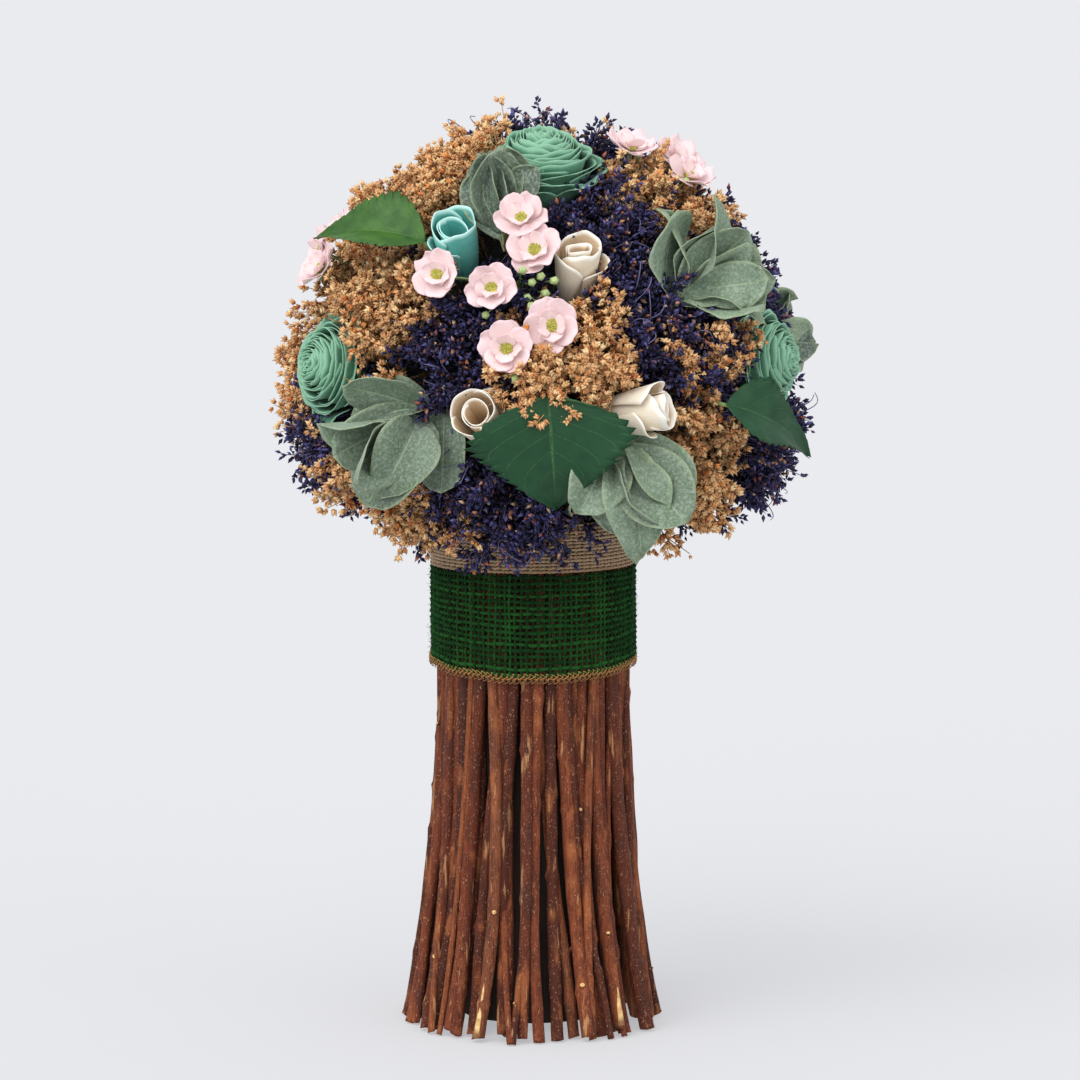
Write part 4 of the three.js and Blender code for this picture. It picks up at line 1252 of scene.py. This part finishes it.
# Parts of a clump that lie apart from its middle: place, half angle, reach in mm and number of sprigs.
OUTLIERS = {
    "seed_head_1": [((-50, 50), 10, 125, 14), ((-50, 64), 10, 127, 14), ((-36, 68), 8, 132, 8),
                    ((-67, 42), 5, 130, 6)],
    "seed_head_2": [((-47, 13), 5, 127, 6), ((-44, 0), 4, 125, 4), ((-58, 20), 9, 125, 12),
                    ((-36, 23), 6, 124, 6)],
    "seed_head_3": [((-4, -2), 7, 133, 14), ((8, 3), 12, 127, 20), ((13, -2), 8, 133, 16),
                    ((9, 14), 9, 123, 12), ((5, -1), 9, 134, 16)],
    "seed_head_4": [((34, 7), 4, 126, 4), ((44, 7), 3, 127, 3), ((54, 8), 5, 126, 6),
                    ((40, -8), 8, 124, 10), ((47, -30), 9, 128, 14), ((40, -36), 8, 124, 8)],
    "seed_head_5": [((-37, -33), 9, 126, 10), ((-67, -24), 8, 128, 8)],
    "seed_head_6": [((-86, -8), 6, 134, 6), ((-84, 22), 8, 114, 10), ((-98, 22), 8, 112, 10)],
    "lavender_1": [((-16, 16), 10, 118, 12), ((-1, 20), 8, 112, 10)],
    "lavender_2": [((20, 30), 10, 119, 12)],
    "lavender_3": [((24, 20), 10, 119, 12), ((50, 14), 9, 122, 10)],
    "lavender_6": [((-6, -36), 11, 125, 16), ((4, -34), 9, 122, 10)],
    "lavender_5": [((-76, -16), 8, 130, 12), ((-84, -22), 6, 130, 6)],
    "lavender_7": [((70, -22), 10, 132, 14), ((78, -12), 7, 134, 8)],
    "lavender_8": [((-150, 74), 12, 129, 4), ((60, 78), 6, 130, 1), ((178, 68), 14, 114, 26),
                   ((96, 66), 12, 116, 18)],
    "lavender_9": [((92, 30), 14, 119, 30), ((98, 14), 9, 119, 12), ((84, 48), 9, 118, 10)],
    "lavender_10": [((118, 6), 10, 118, 14), ((88, 16), 6, 118, 8)],
    "lavender_11": [((-172, 16), 13, 113, 26), ((166, 28), 10, 116, 14), ((-158, 4), 11, 117, 18),
                    ((-176, 36), 9, 114, 10)],
    "lavender_12": [((-106, 2), 9, 118, 12), ((-118, 34), 10, 116, 14)],
    "seed_head_7": [((76, 42), 8, 121, 10)],
    "seed_head_10": [((-120, 62), 11, 116, 12), ((-96, 50), 9, 118, 10)],
    "seed_head_9": [((-176, -8), 9, 117, 14), ((176, 0), 7, 117, 8)],
}
THIN = {"lavender_8": 3}  # fewer sprigs than the style's, where another piece fills the place


def lie_of(node):
    """The middle of a clump's outer end as a direction, its half angle and its reach."""
    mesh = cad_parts[node].data
    points = np.empty(len(mesh.vertices) * 3)
    mesh.vertices.foreach_get("co", points)
    away = points.reshape(-1, 3) - HEAD
    distance = np.linalg.norm(away, axis=1)
    outer = unit(away[distance > 0.8 * distance.max()])
    aim = unit(outer.mean(0))
    spread = np.percentile(np.arccos(np.clip(outer @ aim, -1, 1)), 80)
    return aim, spread, distance.max()


def in_the_open(points):
    """Which points are outside the foam, the neck and the flower heads, inside the bunch's box."""
    away = np.linalg.norm(points - HEAD, axis=1)
    flat = np.linalg.norm(points[:, :2] - TWIG_AXIS, axis=1)
    in_neck = (flat < TIE_RADIUS + 2.5 * MM) & (points[:, 2] < TWINE_HIGH + MM)
    low, high = np.array(cad_box[0]) - 8 * MM, np.array(cad_box[1]) + 8 * MM
    boxed = np.all((points > low) & (points < high), axis=1)
    return (away > FOAM_RADIUS) & ~in_neck & boxed & clear_of(points)


def sprigs(pile, style, ways, roots, tips, dice):
    """Branching sprigs from roots to tips, with buds all round their twiglets."""
    count, forks, buds = len(ways), style["twiglets"], style["buds"]
    lines = tips - roots
    share = np.concatenate([np.ones((count, 1)) * 0.72, dice.uniform(0.3, 0.9, (count, forks - 1))], axis=1)
    starts = roots[:, None] + lines[:, None] * share[..., None]
    lean = style["branching"] * np.concatenate([np.zeros((count, 1)), np.ones((count, forks - 1))], axis=1)
    axes = unit(ways[:, None] + dice.normal(0, 1, (count, forks, 3)) * lean[..., None] * 0.62)
    lengths = style["length"] * dice.uniform(0.6, 1.3, (count, forks))
    starts, axes, lengths = starts.reshape(-1, 3), axes.reshape(-1, 3), lengths.ravel()
    t = dice.uniform(0.05, 1.0, (len(starts), buds))
    turn = dice.uniform(0, 2 * math.pi, t.shape)
    frames = axes_along(axes)
    radial = np.cos(turn)[..., None] * frames[:, None, 0] + np.sin(turn)[..., None] * frames[:, None, 1]
    off = style["thickness"] * (1 - 0.7 * t) * np.sqrt(dice.uniform(0.05, 1, t.shape))
    spots = starts[:, None] + axes[:, None] * (lengths[:, None] * t)[..., None] + radial * off[..., None]
    heads = unit(axes[:, None] * 0.8 + radial * 0.8 + dice.normal(0, 0.35, spots.shape))
    spots, heads = spots.reshape(-1, 3), heads.reshape(-1, 3)
    seen = np.linalg.norm(spots - HEAD, axis=1) > style["deepest"]
    kept = seen & in_the_open(spots) & np.repeat(in_the_open(starts + axes * lengths[:, None] * 0.4), buds)
    spots, heads = spots[kept], heads[kept]
    size = style["size"] * dice.uniform(0.7, 1.2, (len(spots), 1))
    turns = axes_along(heads, dice.uniform(0, 6, len(spots)))
    pile.scatter(style["bud"], spots, turns, size, dice.random(len(spots)))
    kept = in_the_open(starts + axes * lengths[:, None] * 0.5)
    sticks(pile, starts[kept], axes[kept] * lengths[kept, None], 0.28 * MM, dice)
    kept = in_the_open(tips) | in_the_open(roots + lines * 0.6)
    sticks(pile, roots[kept], lines[kept], 0.45 * MM, dice)


def sticks(pile, starts, lines, radius, dice):
    """Straight thin stalks."""
    lengths = np.linalg.norm(lines, axis=1)
    scales = np.stack([np.full(len(lines), radius)] * 2 + [lengths], axis=-1)
    pile.scatter(STICK, starts, axes_along(lines), scales, dice.random(len(lines)), slot=1)


def clump(name, node, style):
    """The sprigs of one clump: a tuft where its node is, its outliers and its strands."""
    dice = dice_for(name)
    pile = Pile()
    aim, spread, furthest = lie_of(node)
    tuft(pile, style, aim, spread, furthest, THIN.get(node, style["sprigs"]), dice)
    for at, half_angle, distance, count in OUTLIERS.get(node, []):
        tuft(pile, style, direction(*at), math.radians(half_angle), distance * MM, count, dice)
    strands(pile, aim, spread, furthest, style["strands"], dice_for(f"{name}_strands"))
    place(pile, name, style["paints"], [node], style["slot"])


def strands(pile, aim, spread, furthest, count, dice):
    """Thin bare stalks that curl over the outside of a clump."""
    frames = axes_along(aim)

    def sideways(turn):
        return math.cos(turn) * frames[0] + math.sin(turn) * frames[1]

    for _ in range(count):
        angle = spread * math.sqrt(dice.random())
        way = unit(math.cos(angle) * aim + math.sin(angle) * sideways(dice.uniform(0, 6.3)))
        along = sideways(dice.uniform(0, 6.3))
        start = HEAD + way * (furthest - dice.uniform(9, 14) * MM)
        end = start + along * dice.uniform(9, 17) * MM + way * dice.uniform(5, 12) * MM
        sag = way * dice.uniform(2, 6) * MM + np.cross(way, along) * dice.normal(0, 3) * MM
        line = bent_line(start, end, sag, 8)
        if in_the_open(line).all():
            tube(pile, line, np.linspace(0.3, 0.18, 8) * MM, 4, dice.uniform(0.8, 1.0), slot=1)


def tuft(pile, style, aim, spread, furthest, count, dice):
    """Sprigs spread evenly over a cap of the head."""
    k = np.arange(count)
    frames = axes_along(aim)
    angle = 1.12 * spread * np.sqrt((k + 0.4) / count) + dice.normal(0, 0.03, count)
    turn = k * GOLDEN_TURN + dice.normal(0, 0.2, count)
    side = np.cos(turn)[:, None] * frames[0] + np.sin(turn)[:, None] * frames[1]
    ways = unit(np.cos(angle)[:, None] * aim + np.sin(angle)[:, None] * side)
    ends = furthest - dice.uniform(2, 9, count) * MM - 5 * MM * (k / count) ** 2
    roots = HEAD + ways * (FOAM_RADIUS - 2 * MM)
    tips = HEAD + unit(ways + dice.normal(0, 0.04, (count, 3))) * ends[:, None]
    sprigs(pile, style, ways, roots, tips, dice)


def undergrowth():
    """Short lavender sprigs all over the foam, which close the gaps between the flowers."""
    dice = dice_for("undergrowth")
    pile = Pile()
    COUNT = 170
    k = np.arange(COUNT)
    height = 1 - 1.8 * (k + 0.5) / COUNT
    flat = np.sqrt(1 - height ** 2)
    ways = around(flat, k * GOLDEN_TURN, height)
    ways = unit(ways + dice.normal(0, 0.05, (COUNT, 3)))
    tips = HEAD + ways * dice.uniform(FOAM_RADIUS + 17 * MM, FOAM_RADIUS + 29 * MM, (COUNT, 1))
    low = {**LAVENDER, "buds": 10, "branching": 1.2, "thickness": 4 * MM, "deepest": FOAM_RADIUS + 8 * MM}
    sprigs(pile, low, ways, HEAD + ways * FOAM_RADIUS, tips, dice)
    piece = pile.build("lavender_undergrowth", [PAINTS[paint] for paint in LAVENDER["paints"]])
    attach(piece, "root")


# ---- Stage ----

FLOOR_TONE = (0.302, 0.3024, 0.3075, 1.0)
FLOOR_GLOW = (0.4114, 0.4155, 0.4317, 1.0)  # pales the shadow on the floor
BACKGROUND = (234, 235, 239)


def stage():
    """A pale floor and an even background."""
    HALF = 40
    mesh = bpy.data.meshes.new("floor")
    corners = [(-HALF, -HALF, 0), (HALF, -HALF, 0), (HALF, HALF, 0), (-HALF, HALF, 0)]
    mesh.from_pydata(corners, [], [(0, 1, 2, 3)])
    floor = bpy.data.objects.new("floor", mesh)
    bpy.context.scene.collection.objects.link(floor)
    p = Paint("floor_paint", Roughness=1.0, Specular_IOR_Level=0.0,
              Emission_Color=FLOOR_GLOW, Emission_Strength=1.0)
    paler = tuple(1.01 * x for x in FLOOR_TONE)
    mesh.materials.append(p.finish(p.ramp(p.noise(2.0, 2), (0.0, FLOOR_TONE), (1.0, paler))))
    world = bpy.data.worlds.new("studio")
    bpy.context.scene.world = world
    world.use_nodes = True
    background = world.node_tree.nodes["Background"]
    background.inputs["Color"].default_value = srgb(*BACKGROUND)
    background.inputs["Strength"].default_value = 1.0


def sun(name, azimuth, elevation, power, softness):
    """A sun at a direction from the head. Its softness is its width in degrees."""
    light = bpy.data.lights.new(name, "SUN")
    light.energy = power
    light.angle = math.radians(softness)
    holder = bpy.data.objects.new(name, light)
    away = direction(azimuth, elevation)
    holder.location = HEAD + away
    holder.rotation_euler = Vector(-away).to_track_quat("-Z", "Y").to_euler()
    bpy.context.scene.collection.objects.link(holder)


def camera():
    ASIDE, AWAY, HEIGHT, DOWN = 3.4 * MM, 1.92, 0.443, 6.2
    data = bpy.data.cameras.new("camera")
    data.lens = 133.3
    data.sensor_width = 36
    holder = bpy.data.objects.new("camera", data)
    holder.location = (TWIG_AXIS[0] + ASIDE, TWIG_AXIS[1] - AWAY, HEIGHT)
    holder.rotation_euler = (math.radians(90 - DOWN), 0, 0)
    bpy.context.scene.collection.objects.link(holder)
    bpy.context.scene.camera = holder


# ---- Assembly ----

camera()
stage()
sun("key", -35, 42, 2.2, 60)
sun("fill", 50, 25, 0.5, 50)
bpy.context.scene.view_settings.view_transform = "Standard"

twigs()
foam_ball()
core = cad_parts["core_post"]
core.data.materials.clear()
core.data.materials.append(PAINTS["core_wood"])
ribbon, ribbon_length = burlap_weave()
hem = hem_stitches()
twine_winding()

# Places and facings are an azimuth and an elevation. Distances are in mm, and `out` is the distance
# from where a flower or leaf usually lies.
ROSES = [  # place, facing, out and size
    ((-1, 61), (0, 70), 5, 1.12),
    ((-62, 1), (-56, 10), 8, 1.0),
    ((70, 3), (66, 6), 7, 1.0),
    ((-138, 24), (-138, 24), 0, 1.0),
    ((150, 14), (150, 14), 0, 1.0),
]
for number, options in enumerate(ROSES, 1):
    sola_rose(f"sola_rose_petals_{number}", f"sola_rose_{number}", *options)

ROSEBUDS = [  # paint, place, facing, out, and the roll's radius and height
    ("turquoise", (-27, 35), (-14, 48), 0, (0.62, 0.84)),
    ("cream", (9, 28), (10, 50), 0, (0.5, 0.93)),
    ("cream", (-15, -9), (-12, 24), 5, (0.56, 0.86)),
    ("cream", (21, -6), (64, 8), 10, (0.56, 0.97)),
    ("turquoise", (-176, 36), (-170, 50), 0, (0.6, 0.85)),
    ("cream", (-104, 26), (-112, 36), -5, (0.5, 0.95)),
]
for number, options in enumerate(ROSEBUDS, 1):
    wood_rosebud(f"wood_rosebud_{number}", f"rosebud_{number}", *options)

SPRAYS = [  # the fork's place, the blossoms' and the green buds'
    ((-9, 29), [(-6, 38), (-2, 30), (-12, 21), (-26, 24)],
     [(-5, 25), (-3, 23), (-1, 24), (0, 21), (-4, 20), (2, 23), (-1, 18)]),
    ((-6, 13), [(2, 13), (-8, 8)], [(-3, 17), (-6, 2)]),
    ((-76, 30), [(-72, 24), (-82, 28), (-74, 34)], []),
    ((58, 55), [(44, 61), (62, 50), (72, 56)], []),
    ((174, 14), [(168, 18), (178, 8), (-176, 16)], [(172, 13), (176, 20)]),
]
for number, options in enumerate(SPRAYS, 1):
    blossom_spray(f"blossoms_{number}", f"blossom_spray_{number}", *options)

LEAVES = [  # root, tip and its distance out from the head's middle, length, width, out, facing and looks
    ((1, -2), (3, -27), 129, 54, 74, 4, (0, 4), 0.35, 0.34, 0.16),
    ((-32, 32), (-55, 30), 141, 56, 34, 2, (-20, 46), 1.0, 0.3, 0.5),
    ((43, -5), (66, -13), 148, 60, 34, 5, (20, 34), 0.4, 0.3, 0.3),
    ((-146, -4), (-140, -30), 122, 58, 44, 2, (-146, -4), 0.3, 0.3, 0.16),
]
for number, options in enumerate(LEAVES, 1):
    broad_leaf(f"green_leaf_{number}", f"leaf_{number}", *options)

EUCALYPTUS = [  # root, where it points, leaves, spread, size, out, roll, tones, folds and free share
    ((-30, -8), (-48, -15), 8, 1.3, 1.12, 3, 0.0, (0.0, 0.8), (0.2, 0.6, 0.9), 0.8),
    ((18, -13), (17, -44), 8, 0.8, 1.08, 5, 0.0, (0.2, 1.0), (0.15, 0.3, 0.5), 0.8),
    ((38, 20), (60, 31), 12, 1.15, 1.0, 3, 0.2, (0.5, 1.0), (0.1, 0.2, 0.35), 0.8),
    ((-13, 40), (-16, 54), 10, 1.15, 0.78, 1, 0.1, (0.0, 0.5), (0.2, 0.4), 0.94),
    ((104, 8), (116, 4), 7, 1.0, 1.0, 0, 0.0, (0.0, 1.0), (0.2, 0.45), 0.8),
    ((-164, -14), (-160, -34), 7, 1.0, 1.0, 0, 0.0, (0.0, 1.0), (0.2, 0.45), 0.8),
]
for number, options in enumerate(EUCALYPTUS, 1):
    eucalyptus_sprig(f"eucalyptus_leaves_{number}", f"eucalyptus_{number}", *options)

for number in range(1, 13):
    clump(f"lavender_sprigs_{number}", f"lavender_{number}", LAVENDER)
for number in range(1, 12):
    clump(f"seed_sprigs_{number}", f"seed_head_{number}", SEEDS)

undergrowth()
